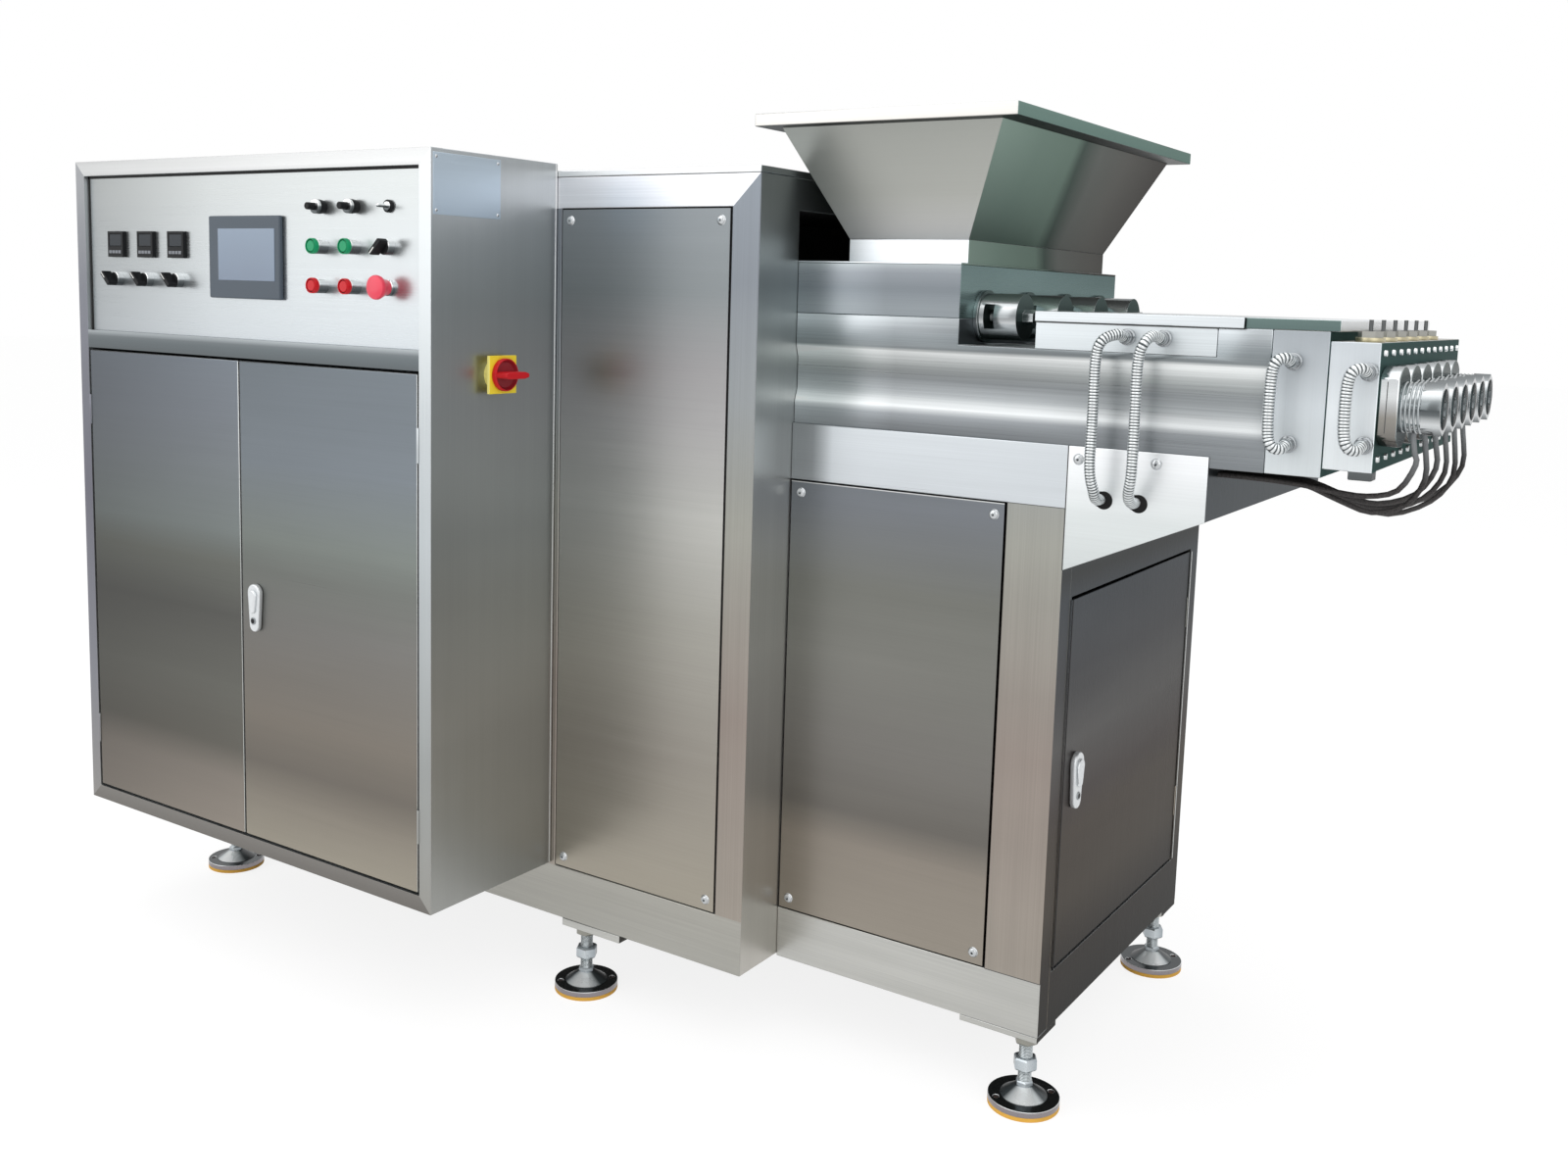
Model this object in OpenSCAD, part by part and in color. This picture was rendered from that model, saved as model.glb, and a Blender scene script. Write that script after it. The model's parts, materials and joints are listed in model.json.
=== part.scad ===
// Candy extruder: control cabinet, drive housing, barrel on its base, hopper and a row of nozzles.
// All sizes are millimetres. x runs along the machine to the nozzles, y runs to the back, z is up.
// In the sizes below, x is counted from the control cabinet's left side, y from the drive housing's
// front and z from the floor. place() moves everything so that the origin is under the middle.

/* [Control cabinet] */
// width of the control cabinet
cabinet_width = 1004; // [800:1200]
// depth of the control cabinet
cabinet_depth = 307; // [250:400]
// height of the cabinet's underside over the floor
cabinet_bottom = 244; // [200:300]
// height of the cabinet itself
cabinet_height = 1310; // [1050:1500]
// width of the front frame's posts and rails
frame_width = 28; // [20:40]
// height of the opening in which the instrument panel sits
panel_opening = 304; // [250:360]
// height of the rail between the doors and the instrument panel
mid_rail_height = 35; // [25:50]
// how far the instrument panel sits behind the frame's front
panel_recess = 10; // [2:20]
// thickness of the cabinets' sheet steel
sheet = 4; // [2:6]
// thickness of each door
door_thickness = 20; // [15:25]
// width of a door's folded edge
door_fold = 12; // [8:20]
// gap around each door
door_gap = 5; // [5:8]
// height of a hinge knuckle
knuckle_height = 60; // [40:90]
// distance from a door's end to its hinge knuckle
knuckle_inset = 90; // [50:150]
// plate of the right door's lock: width, height, thickness
lock_plate = [34, 90, 5]; // [3:120]
// grip of that lock: width, height, how far it stands out from the plate
lock_grip = [20, 70, 11]; // [5:100]
// distance from the lock's middle to the door's free edge
lock_from_edge = 43.5; // [30:80]
// how far the lock lies below the door's middle
lock_drop = 4.5; // [-100:100]

/* [Instruments] */
// width and height of the touch screen
screen_size = [212, 150]; // [120:250]
// how far the touch screen stands out from the panel
screen_depth = 9; // [5:15]
// width and height of the glass in the touch screen
glass_size = [160, 94]; // [60:180]
// how far the glass lies behind the touch screen's front
glass_recess = 1.5; // [0.5:3]
// how far the glass's middle lies above the touch screen's middle
glass_rise = 5; // [0:10]
// side of a temperature controller
controller_size = 50; // [40:60]
// how far a controller stands out from the panel
controller_depth = 8; // [4:12]
// width and height of a controller's display
display_size = [40, 24]; // [10:44]
// distance between the middles of two controllers
controller_pitch = 96; // [80:120]
// distance between two columns and between two rows of the knob and button grid
grid_pitch = [83, 68]; // [60:100]
// how the panel's free width is shared: left of the controllers, two sides of the screen, right of the grid
free_shares = [0.24, 0.27, 0.27, 0.22]; // [0:1]
// height of the touch screen's middle over the panel's middle
screen_rise = -3; // [-40:40]
// height of the controllers' middles over the panel's middle
controllers_rise = 19; // [-40:60]
// height of the selector row over the panel's middle
selectors_rise = -48; // [-80:-40]
// height of the grid's middle row over the panel's middle
grid_rise = 18; // [-30:40]
// diameter of a push button
button_diameter = 22; // [16:30]
// how far a push button stands out from the panel
button_length = 17; // [14:25]
// how far a push button goes in
button_travel = 3; // [2:4]
// how far the emergency stop goes in
stop_travel = 5; // [3:8]
// how far the emergency stop stands out from the panel
stop_length = 46; // [35:60]
// head of the emergency stop: diameter and thickness
stop_head = [40, 16]; // [10:50]
// wall of a chrome ring around a button
ring_wall = 3; // [2:5]
// gap between a button and its ring
ring_gap = 1; // [0.5:2]
// how far a ring stands out from the panel
ring_length = 12; // [6:14]
// how far the ring under a speed knob stands out
knob_ring_length = 5; // [3:8]
// selector: how far its disc stands out, and its grip's width, height and length
selector_disc = 14; // [12:18]
selector_grip = [8, 22, 12]; // [4:30]
// speed knob: diameter, length and distance from the panel
speed_knob = [26, 14, 10]; // [6:40]
// shaft of a speed knob: diameter
knob_shaft = 10; // [6:14]
// bare shaft in the third place: diameter and length
bare_shaft = [7, 18]; // [4:25]

/* [Isolator] */
// distance from the isolator's middle to the cabinet's front
isolator_from_front = 150; // [80:220]
// how far the isolator's middle lies below the cabinet's top
isolator_drop = 374; // [200:500]
// side and thickness of the yellow plate
isolator_plate = [66, 6]; // [4:80]
// diameter and length of the boss behind the plate
isolator_boss = [54, 14]; // [5:60]
// gap between the plate and the handle
isolator_gap = 0.8; // [0.5:1]
// handle's disc and hub: diameter and thickness of each
handle_disc = [50, 10]; // [6:60]
handle_hub = [40, 8]; // [6:50]
// handle's bar: length, height, how far it stands out from the hub
handle_bar = [64, 16, 16]; // [8:80]

/* [Drive housing] */
// width of the housing, from the cabinet's left side
housing_width = 1447; // [1300:1700]
// depth of the housing
housing_depth = 950; // [850:1100]
// how far the housing's underside lies above the base's underside
housing_rise = 4; // [0:10]
// how far the housing rises above the hopper's neck
housing_over_neck = 100; // [60:120]
// thickness of the roof
roof_thickness = 12; // [6:16]
// thickness of the screwed front panels
panel_thickness = 4; // [2:6]
// margin of the drive's front panel: beside the cabinet, at its right, at its top, above the rail
panel_margin = [11, 56, 55, 11]; // [5:80]
// height of the opening in the housing's right side above the feed block
window_height = 84; // [50:95]
// depth of that opening into the housing
window_depth = 260; // [100:400]

/* [Base] */
// how far the base's front lies behind the drive housing's front
base_setback = 118; // [100:140]
// depth of the base
base_depth = 700; // [600:820]
// length of the base beyond the drive housing
base_length = 510; // [420:600]
// height of the base's underside over the floor
base_bottom = 137; // [110:160]
// height of the base up to the barrel
base_height = 958; // [850:1100]
// width of the base's frame members
member = 99; // [80:120]
// height of the base's bottom rail
rail_height = 93; // [75:110]
// how deep the frame members are
member_depth = 40; // [30:48]
// how far the top bar rises in front of the barrel
bar_lip = 17; // [10:25]
// thickness of the bracket's front plate and of that lip
plate_thickness = 4; // [3:6]
// thickness of the frame around the side door
side_frame = 27; // [22:35]
// thickness of the deck under the barrel
deck_thickness = 20; // [12:30]
// margin between the side door and the base's front and back
side_door_margin = [52, 48]; // [40:80]
// height of the side door's bottom edge over the base's underside
side_door_rise = 102; // [80:140]
// height of the side door
side_door_height = 621; // [500:720]
// plate of the side door's lock: width, height, thickness
side_lock_plate = [40, 96, 5]; // [3:120]
// grip of that lock: width, height, how far it stands out from the plate
side_lock_grip = [22, 76, 11]; // [5:100]
// distance from that lock's middle to the door's free edge
side_lock_from_edge = 47; // [30:80]
// reach of the support bracket beyond the base
bracket_reach = 218; // [170:270]
// how far the bracket hangs below the barrel at the base and at its free end
bracket_drop = [180, 81]; // [60:220]
// thickness of the bracket's walls
bracket_wall = 6; // [4:10]

/* [Feet] */
// diameter of a foot's disc
foot_diameter = 120; // [100:140]
// thickness of the rubber ring and of the disc on it
foot_rubber = 7; // [4:12]
foot_disc = 10; // [6:14]
// cone on the disc: lower and upper diameter and height
foot_cone = [78, 30, 22]; // [15:90]
// diameter of the threaded stem
stem_diameter = 22; // [16:28]
// hexagon nuts on the stem: width over corners, height of the lower and of the upper one
foot_nut = [41.5, 22, 18]; // [10:50]
// gap between the cone and the lower nut
foot_nut_gap = 7; // [2:15]
// anchor holes in the disc: diameter, distance from the foot's middle
anchor_hole = 11; // [8:14]
anchor_radius = 49; // [44:52]
// pads above the feet: length, width, thickness under the base
foot_pad = [140, 80, 10]; // [6:180]
// places of the left feet, from the cabinet's left side and from the housing's front or back
left_foot = [35, 15]; // [0:80]
// distance from the cabinet to the feet beside it
middle_foot = 67; // [40:100]
// distance from the base's right side to the feet there
right_foot = 31; // [20:60]
// distance from those four feet to the front or the back above them
foot_inset = 32; // [20:60]

/* [Barrel] */
// height of the barrel's full-height parts
barrel_height = 207; // [170:240]
// how far the low part under the rollers and the junction box lies below that
shelf_drop = 43; // [35:60]
// length of the barrel beyond the drive housing
barrel_length = 807; // [700:950]
// distance from the barrel's underside to the recess along each side
recess_above_bottom = 54; // [40:60]
// distance from the low part's top to that recess
recess_below_shelf = 12; // [5:20]
// depth of the recess
recess_depth = 7; // [3:12]
// height of the slant at each edge of the recess
recess_slant = 22; // [5:30]

/* [Feed block and hopper] */
// length of the feed block beyond the drive housing
feed_length = 310; // [260:360]
// height of the feed block over the barrel
feed_height = 86; // [70:100]
// distance from the hopper's neck to the feed block's left and right side
neck_inset_x = [70, 14]; // [10:100]
// distance from the neck to the feed block's front and back
neck_inset_y = [52, 38]; // [30:80]
// height of the neck over the feed block
neck_height = 42; // [30:60]
// thickness of the plate under the neck
neck_plate = 3; // [2:6]
// thickness of the floor under the throat
throat_floor = 10; // [5:30]
// how much wider the funnel gets on each side, along x and y
funnel_spread = [90, 85]; // [60:110]
// height of the funnel
funnel_height = 182; // [150:220]
// width of the rim beyond the funnel, along x and y
rim_flange = [37, 28]; // [15:50]
// thickness of the rim
rim_thickness = 21; // [12:30]
// thickness of the hopper's walls, measured level
hopper_wall = 4; // [3:6]
// number of roller bearings
roller_count = 4; // [1:4]
// distance from the barrel's front to the first bearing's axis
roller_first = 93; // [60:120]
// distance between two bearings
roller_pitch = 170; // [120:180]
// diameter and length of a bearing housing
roller_size = [76, 74]; // [50:90]
// collar at its foot: how much it stands out around, and its thickness
roller_collar = [5, 8]; // [3:12]
// gap between the collars and the barrel's low part
roller_clearance = 4; // [1:10]
// slot across a bearing housing: distance from its foot, width, half height
roller_slot = [16, 18, 20]; // [8:30]
// shaft in a bearing housing: diameter
roller_shaft = 22; // [16:30]
// hexagon nut on it: width over corners, length
roller_nut = [26, 18]; // [10:34]

/* [Junction box] */
// distance from the bearings' nuts to the junction box
box_clearance = 41; // [20:60]
// distance from the junction box to the barrel's right end
box_from_end = 79; // [60:100]
// thickness of the lid and the end cover
lid_thickness = 16; // [10:25]
// how far the lid reaches over the box at the front and at the right
lid_overhang = [6, 39]; // [3:50]
// how far the end cover reaches over the die head
cover_overhang = 13; // [5:20]

/* [Die head] */
// length of the end block
end_length = 79; // [60:100]
// thickness of the die head
die_thickness = 68; // [60:90]
// how far the die head stays inside the end block's top and bottom
die_inset = 13; // [5:20]
// how far it stays inside the front and the back
die_margin = [2, 32]; // [1:50]
// clamp block below the die head's front corner: length, width, height
die_clamp = [32, 30, 12]; // [8:40]
// number of nozzles
nozzle_count = 6; // [1:6]
// distance from the die head's front to the first nozzle's axis
nozzle_first = 46; // [44:60]
// distance from one nozzle to the next
nozzle_pitch = 86; // [70:110]
// height of the nozzles' axis over the die head's middle
nozzle_rise = 1.5; // [-5:5]
// gap between two flanges
flange_gap = 6; // [2:10]
// thickness of a nozzle's flange
flange_thickness = 26; // [15:40]
// radius of a flange before its sides are cut flat
flange_radius = 57; // [48:68]
// how far a flange stands out beside the threaded part
thread_shoulder = 5; // [2:8]
// length of the threaded part
thread_length = 28; // [20:40]
// how far a flange stands out beside the nut
nut_shoulder = 3; // [1:6]
// length of the nozzle's nut
nut_length = 25; // [15:35]
// diameter of the outlet
outlet_diameter = 24; // [8:40]
// distance from the die head's right side to the needle valves
valve_inset = 25; // [22:30]
// foot, hexagon and pin of a needle valve: diameter and height of each
valve_foot = [40, 6]; // [4:46]
valve_hexagon = [34, 9]; // [6:40]
valve_pin = [6, 16]; // [4:25]

/* [Conduits and leads] */
// outer diameter of a conduit
conduit_diameter = 20; // [14:24]
// how far the long conduits hang in front of the base
conduit_hang = 54; // [40:80]
// distance from the long conduits' upper ends to the junction box's right end
conduit_tops = [135, 79]; // [40:180]
// how far those ends lie below the barrel's top
conduit_drop = 19; // [18:25]
// distance from the base to the holes that the long conduits enter
conduit_holes = [56, 111]; // [30:180]
// how far the holes lie below the top bar's edge
hole_drop = 79; // [50:90]
// clearance around a conduit in its hole
hole_clearance = 2; // [1:5]
// how far each long conduit hangs to the right of its hole
conduit_shift = [0, 10]; // [-20:20]
// size of a conduit's bend
conduit_bend = 26; // [20:40]
// jumper on the end block: distance from the barrel's end, from its top and from its bottom
end_jumper = [32, 44, 45]; // [20:70]
// jumper on the die head: distance from its right side, from its top and from its bottom
die_jumper = [13, 41, 38]; // [10:70]
// collar of a conduit's fitting: diameter and thickness
fitting_collar = [34, 6]; // [4:40]
// diameter of the fitting's sleeve
fitting_sleeve = 28; // [22:34]
// how far a fitting stands out
fitting_reach = 16; // [10:25]
// diameter of a heater lead
lead_diameter = 8; // [5:10]

/* [Hidden] */
$fn = 64;
eps = 0.01;

// Worked out from the sizes above

cabinet_top = cabinet_bottom + cabinet_height;
cabinet_front = -cabinet_depth;
panel_front = cabinet_front + panel_recess;
mid_rail_top = cabinet_top - frame_width - panel_opening;
mid_rail_bottom = mid_rail_top - mid_rail_height;
door_bottom = cabinet_bottom + frame_width + door_gap;
door_top = mid_rail_bottom - door_gap;
door_split = cabinet_width / 2;

// the instrument panel's three groups, side by side
panel_middle = mid_rail_top + panel_opening / 2;
ring_bore = button_diameter + 2 * ring_gap;
ring_diameter = ring_bore + 2 * ring_wall;
controllers_width = 2 * controller_pitch + controller_size;
grid_width = 2 * grid_pitch[0] + ring_diameter;
free_width = cabinet_width - 2 * frame_width - controllers_width - screen_size[0] - grid_width;
controllers_left = frame_width + free_shares[0] * free_width;
screen_left = controllers_left + controllers_width + free_shares[1] * free_width;
grid_left = screen_left + screen_size[0] + free_shares[2] * free_width;
controller_x = [for (i = [0 : 2]) controllers_left + controller_size / 2 + i * controller_pitch];
controller_z = panel_middle + controllers_rise;
selector_z = panel_middle + selectors_rise;
screen_middle = [screen_left + screen_size[0] / 2, panel_middle + screen_rise];
grid_x = [for (i = [0 : 2]) grid_left + ring_diameter / 2 + i * grid_pitch[0]];
grid_z = [for (i = [1 : -1 : -1]) panel_middle + grid_rise + i * grid_pitch[1]];
isolator_middle = [cabinet_front + isolator_from_front, cabinet_top - isolator_drop];

// heights, from the base's underside to the hopper's rim
rail_top = base_bottom + rail_height;
barrel_bottom = base_bottom + base_height;
bar_top = barrel_bottom + bar_lip;
bar_bottom = bar_top - member;
barrel_top = barrel_bottom + barrel_height;
barrel_shelf = barrel_top - shelf_drop;
recess_z = [barrel_bottom + recess_above_bottom, barrel_shelf - recess_below_shelf];
feed_top = barrel_top + feed_height;
neck_top = feed_top + neck_height;
rim_z = [neck_top + funnel_height, neck_top + funnel_height + rim_thickness];
lid_top = barrel_top + lid_thickness;
roller_z = barrel_shelf + roller_clearance + roller_collar[0] + roller_size[0] / 2;
housing_bottom = base_bottom + housing_rise;
housing_top = neck_top + housing_over_neck;
housing_window = [feed_top + neck_plate, feed_top + neck_plate + window_height];
pad_bottom = base_bottom - foot_pad[2];

// places along the machine
housing_right = housing_width;
base_right = housing_right + base_length;
post_left = base_right - member;
bracket_right = base_right + bracket_reach;
feed_right = housing_right + feed_length;
barrel_right = housing_right + barrel_length;
box_x = [feed_right + roller_size[1] + roller_nut[1] + box_clearance, barrel_right - box_from_end];
lid_right = box_x[1] + lid_overhang[1];
end_right = barrel_right + end_length;
cover_right = end_right + cover_overhang;
die_right = end_right + die_thickness;
flange_end = die_right + flange_thickness;
thread_end = flange_end + thread_length;
nozzle_end = thread_end + nut_length;

// places from front to back
base_front = base_setback;
base_back = base_front + base_depth;
barrel_front = base_front + plate_thickness;
barrel_back = base_back;
die_y = [barrel_front + die_margin[0], barrel_back - die_margin[1]];
die_z = [barrel_bottom + die_inset, barrel_top - die_inset];
side_door_y = [base_front + side_door_margin[0], base_back - side_door_margin[1]];
side_door_z = [base_bottom + side_door_rise, base_bottom + side_door_rise + side_door_height];
roller_y = [for (i = [0 : roller_count - 1]) barrel_front + roller_first + i * roller_pitch];
nozzle_y = [for (i = [0 : nozzle_count - 1]) die_y[0] + nozzle_first + i * nozzle_pitch];
nozzle_z = (die_z[0] + die_z[1]) / 2 + nozzle_rise;
flange_width = nozzle_pitch - flange_gap;
thread_diameter = flange_width - 2 * thread_shoulder;
nut_diameter = flange_width - 2 * nut_shoulder;

// the hopper's neck, funnel and rim
neck_low = [housing_right + neck_inset_x[0], barrel_front + neck_inset_y[0]];
neck_high = [feed_right - neck_inset_x[1], barrel_back - neck_inset_y[1]];
hopper_middle = (neck_low + neck_high) / 2;
neck_half = (neck_high - neck_low) / 2;
mouth_half = neck_half + funnel_spread;
rim_half = mouth_half + rim_flange;

// the feet
foot_x = [left_foot[0], cabinet_width + middle_foot, base_right - right_foot];
front_feet = [[foot_x[0], left_foot[1]], [foot_x[1], foot_inset], [foot_x[2], base_front + foot_inset]];
back_feet = [[foot_x[0], housing_depth - left_foot[1]], [foot_x[1], housing_depth - foot_inset],
             [foot_x[2], base_back - foot_inset]];

// the middle of the machine's outline on the floor
machine_left = front_feet[0][0] - foot_diameter / 2;
machine_front = panel_front - stop_length;
machine_back = back_feet[0][1] + foot_diameter / 2;
middle = [(machine_left + nozzle_end) / 2, (machine_front + machine_back) / 2];

// Helpers

module place() {
    translate([-middle[0], -middle[1], 0]) children();
}

// box between two corners
module block(low, high) {
    translate(low) cube(high - low);
}

// outline in y and z, drawn along x
module along_x(x0, x1) {
    translate([x0, 0, 0]) rotate([90, 0, 90]) linear_extrude(x1 - x0) children();
}

// outline in x and z, drawn along y
module along_y(y0, y1) {
    translate([0, y1, 0]) rotate([90, 0, 0]) linear_extrude(y1 - y0) children();
}

// bar along x that starts at x0, round unless sides says otherwise
module rod_x(x0, x1, y, z, d, sides = 64) {
    translate([x0, y, z]) rotate([0, 90, 0]) cylinder(d = d, h = x1 - x0, $fn = sides);
}

// round bar along y from y0 to y1
module rod_y(y0, y1, x, z, d) {
    translate([x, y1, z]) rotate([90, 0, 0]) cylinder(d = d, h = y1 - y0);
}

// round tube swept through points: rings of corners around each point, joined by quads
function unit(v) = v / norm(v);
function heading(p, i) = let (n = len(p) - 1)
    unit(i == 0 ? p[1] - p[0] : i == n ? p[n] - p[n - 1] : unit(p[i + 1] - p[i]) + unit(p[i] - p[i - 1]));
function across(p, i) = let (d = heading(p, i), hint = i == 0 ? [0.31, 0.87, 0.39] : across(p, i - 1))
    unit(hint - (hint * d) * d);

module sweep(p, d, sides = 8) {
    rings = len(p);
    corners = [
        for (i = [0 : rings - 1]) let (t = heading(p, i), u = across(p, i), w = cross(t, u))
            for (k = [0 : sides - 1]) let (a = 360 * k / sides)
                p[i] + d / 2 * (cos(a) * u + sin(a) * w)
    ];
    skin = [
        for (i = [0 : rings - 2]) for (k = [0 : sides - 1]) let (m = (k + 1) % sides)
            [i * sides + k, (i + 1) * sides + k, (i + 1) * sides + m, i * sides + m]
    ];
    caps = [
        [for (k = [0 : sides - 1]) k],
        [for (k = [sides - 1 : -1 : 0]) (rings - 1) * sides + k]
    ];
    polyhedron(corners, concat(skin, caps));
}

// smooth curve through points
function bend(a, b, c, d, t) = 0.5 * (2 * b + (c - a) * t + (2 * a - 5 * b + 4 * c - d) * t * t
    + (3 * b - a - 3 * c + d) * t * t * t);
function smooth(p, steps) = let (n = len(p) - 1) [
    for (i = [0 : n - 1]) for (k = [0 : steps - 1])
        bend(p[max(i - 1, 0)], p[i], p[i + 1], p[min(i + 2, n)], k / steps),
    p[n]
];

// Control cabinet

// slim hinge knuckle that fills the gap between a post and a door
module knuckle(x, y, z) {
    translate([x, y, z]) cylinder(d = door_gap, h = knuckle_height);
}

module control_front_frame() place() color("silver") {
    inner = [frame_width, cabinet_width - frame_width];
    difference() {
        block([0, cabinet_front, cabinet_bottom], [cabinet_width, cabinet_front + frame_width, cabinet_top]);
        block([inner[0], cabinet_front - 1, cabinet_bottom + frame_width], [inner[1], 0, mid_rail_bottom]);
        block([inner[0], cabinet_front - 1, mid_rail_top], [inner[1], 0, cabinet_top - frame_width]);
    }
    for (x = [inner[0] + door_gap / 2, inner[1] - door_gap / 2])
        for (z = [door_bottom + knuckle_inset, door_top - knuckle_inset - knuckle_height])
            knuckle(x, cabinet_front, z);
}

module control_side_walls() place() color("silver")
    for (x = [0, cabinet_width - sheet])
        block([x, cabinet_front + frame_width, cabinet_bottom], [x + sheet, -sheet, cabinet_top]);

module control_roof_and_floor() place() color("silver")
    for (z = [cabinet_bottom, cabinet_top - sheet])
        block([sheet, cabinet_front + frame_width, z], [cabinet_width - sheet, -sheet, z + sheet]);

module control_back_wall() place() color("silver")
    block([0, -sheet, cabinet_bottom], [cabinet_width, 0, cabinet_top]);

module control_panel() place() color("gainsboro")
    block([frame_width, panel_front, mid_rail_top],
          [cabinet_width - frame_width, panel_front + sheet, cabinet_top - frame_width]);

// plate on the panel with its middle at x and z, and a shallow window in its front
module instrument(x, z, size, depth, window, window_recess, window_rise) {
    front = panel_front - depth;
    difference() {
        block([x - size[0] / 2, front, z - size[1] / 2], [x + size[0] / 2, panel_front, z + size[1] / 2]);
        block([x - window[0] / 2, front - 1, z + window_rise - window[1] / 2],
              [x + window[0] / 2, front + window_recess, z + window_rise + window[1] / 2]);
    }
}

module touch_screen() place() color("slategray")
    instrument(screen_middle[0], screen_middle[1], screen_size, screen_depth,
               glass_size, glass_recess, glass_rise);

module temperature_controllers() place() color("black") {
    display_rise = (controller_size - display_size[1]) / 2 - (controller_size - display_size[0]) / 2;
    for (x = controller_x)
        instrument(x, controller_z, [controller_size, controller_size], controller_depth,
                   display_size, glass_recess, display_rise);
}

// chrome ring around a button or knob, open in the middle
module ring(x, z, length) difference() {
    rod_y(panel_front - length, panel_front, x, z, ring_diameter);
    rod_y(panel_front - length - 1, panel_front + 1, x, z, ring_bore);
}

module control_bezels() place() color("silver") {
    for (x = controller_x) ring(x, selector_z, ring_length);
    for (x = grid_x) ring(x, grid_z[0], knob_ring_length);
    for (x = grid_x) for (z = [grid_z[1], grid_z[2]]) ring(x, z, ring_length);
}

// black knob with a raised bar as a pointer
module selector(x, z) {
    front = panel_front - selector_disc;
    rod_y(front, panel_front, x, z, button_diameter);
    block([x - selector_grip[0] / 2, front - selector_grip[2], z - selector_grip[1] / 2],
          [x + selector_grip[0] / 2, front + eps, z + selector_grip[1] / 2]);
}

module selector_knobs() place() color("black") {
    for (x = controller_x) selector(x, selector_z);
    selector(grid_x[2], grid_z[1]);
}

module speed_knobs() place() color("black") {
    back = panel_front - speed_knob[2];
    for (x = [grid_x[0], grid_x[1]]) {
        rod_y(back - eps, panel_front, x, grid_z[0], knob_shaft);
        rod_y(back - speed_knob[1], back, x, grid_z[0], speed_knob[0]);
    }
    rod_y(panel_front - bare_shaft[1], panel_front, grid_x[2], grid_z[0], bare_shaft[0]);
}

// the isolator's plate starts here
plate_x = cabinet_width + isolator_boss[1];

module isolator_base() place() color("gold") {
    y = isolator_middle[0];
    z = isolator_middle[1];
    half = isolator_plate[0] / 2;
    rod_x(cabinet_width, plate_x + eps, y, z, isolator_boss[0]);
    block([plate_x, y - half, z - half], [plate_x + isolator_plate[1], y + half, z + half]);
}

// Drive housing

drive_panel_low = [cabinet_width + panel_margin[0], rail_top + panel_margin[3]];
drive_panel_high = [housing_right - panel_margin[1], housing_top - panel_margin[2]];

module drive_housing() place() color("silver") difference() {
    block([0, 0, housing_bottom], [housing_right, housing_depth, housing_top]);
    block([drive_panel_low[0], -1, drive_panel_low[1]],
          [drive_panel_high[0], panel_thickness, drive_panel_high[1]]);
    block([housing_right - window_depth, barrel_front, housing_window[0]],
          [housing_right + 1, barrel_back, housing_window[1]]);
}

module drive_front_panel() place() color("lightgray")
    block([drive_panel_low[0], 0, drive_panel_low[1]],
          [drive_panel_high[0], panel_thickness, drive_panel_high[1]]);

module drive_roof() place() color("silver")
    block([0, 0, housing_top], [housing_right, housing_depth, housing_top + roof_thickness]);

// Base

module base_front_frame() place() color("silver") {
    inner_front = base_front + member_depth;
    block([housing_right, base_front, base_bottom], [base_right, inner_front, rail_top]);
    block([post_left, base_front, rail_top], [base_right, inner_front, bar_bottom]);
    block([housing_right, base_front, bar_bottom], [base_right, inner_front, barrel_bottom]);
    block([housing_right, base_front, barrel_bottom - eps], [base_right, barrel_front, bar_top]);
}

module base_front_panel() place() color("lightgray")
    block([housing_right, base_front, rail_top], [post_left, base_front + panel_thickness, bar_bottom]);

module base_back_wall() place() color("silver")
    block([housing_right, base_back - sheet, base_bottom], [base_right, base_back, barrel_bottom]);

module base_floor_and_deck() place() color("silver") {
    low = [housing_right, base_front + member_depth];
    high = [base_right - side_frame, base_back - sheet];
    block([low[0], low[1], base_bottom], [high[0], high[1], base_bottom + sheet]);
    block([low[0], low[1], barrel_bottom - deck_thickness], [high[0], high[1], barrel_bottom]);
}

module base_side_frame() place() color("silver") {
    left = base_right - side_frame;
    difference() {
        block([left, base_front + member_depth, base_bottom], [base_right, base_back - sheet, barrel_bottom]);
        block([left - 1, side_door_y[0] - door_gap, side_door_z[0] - door_gap],
              [base_right + 1, side_door_y[1] + door_gap, side_door_z[1] + door_gap]);
    }
    for (z = [side_door_z[0] + knuckle_inset, side_door_z[1] - knuckle_inset - knuckle_height])
        knuckle(base_right, side_door_y[1] + door_gap / 2, z);
}

// the bracket's outline seen from the front
bracket_low = barrel_bottom - bracket_drop[0];
bracket_high = barrel_bottom - bracket_drop[1];

module bracket_outline(top) {
    polygon([
        [base_right, bracket_low], [bracket_right, bracket_high], [bracket_right, top], [base_right, top]
    ]);
}

// holes that the long conduits enter, x and z
long_holes = [for (x = conduit_holes) [base_right + x, bar_top - hole_drop]];

module bracket_plate() place() color("gainsboro") difference() {
    along_y(base_front, barrel_front) bracket_outline(bar_top);
    for (h = long_holes)
        rod_y(base_front - 1, barrel_front + 1, h[0], h[1], conduit_diameter + 2 * hole_clearance);
}

module support_bracket() place() color("gray") {
    inner_right = bracket_right - bracket_wall;
    inner_back = base_back - bracket_wall;
    along_y(inner_back, base_back) bracket_outline(barrel_bottom);
    block([inner_right, barrel_front, bracket_high], [bracket_right, inner_back, barrel_bottom]);
    block([base_right, barrel_front, barrel_bottom - bracket_wall], [inner_right, inner_back, barrel_bottom]);
}

// Feet

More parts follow.
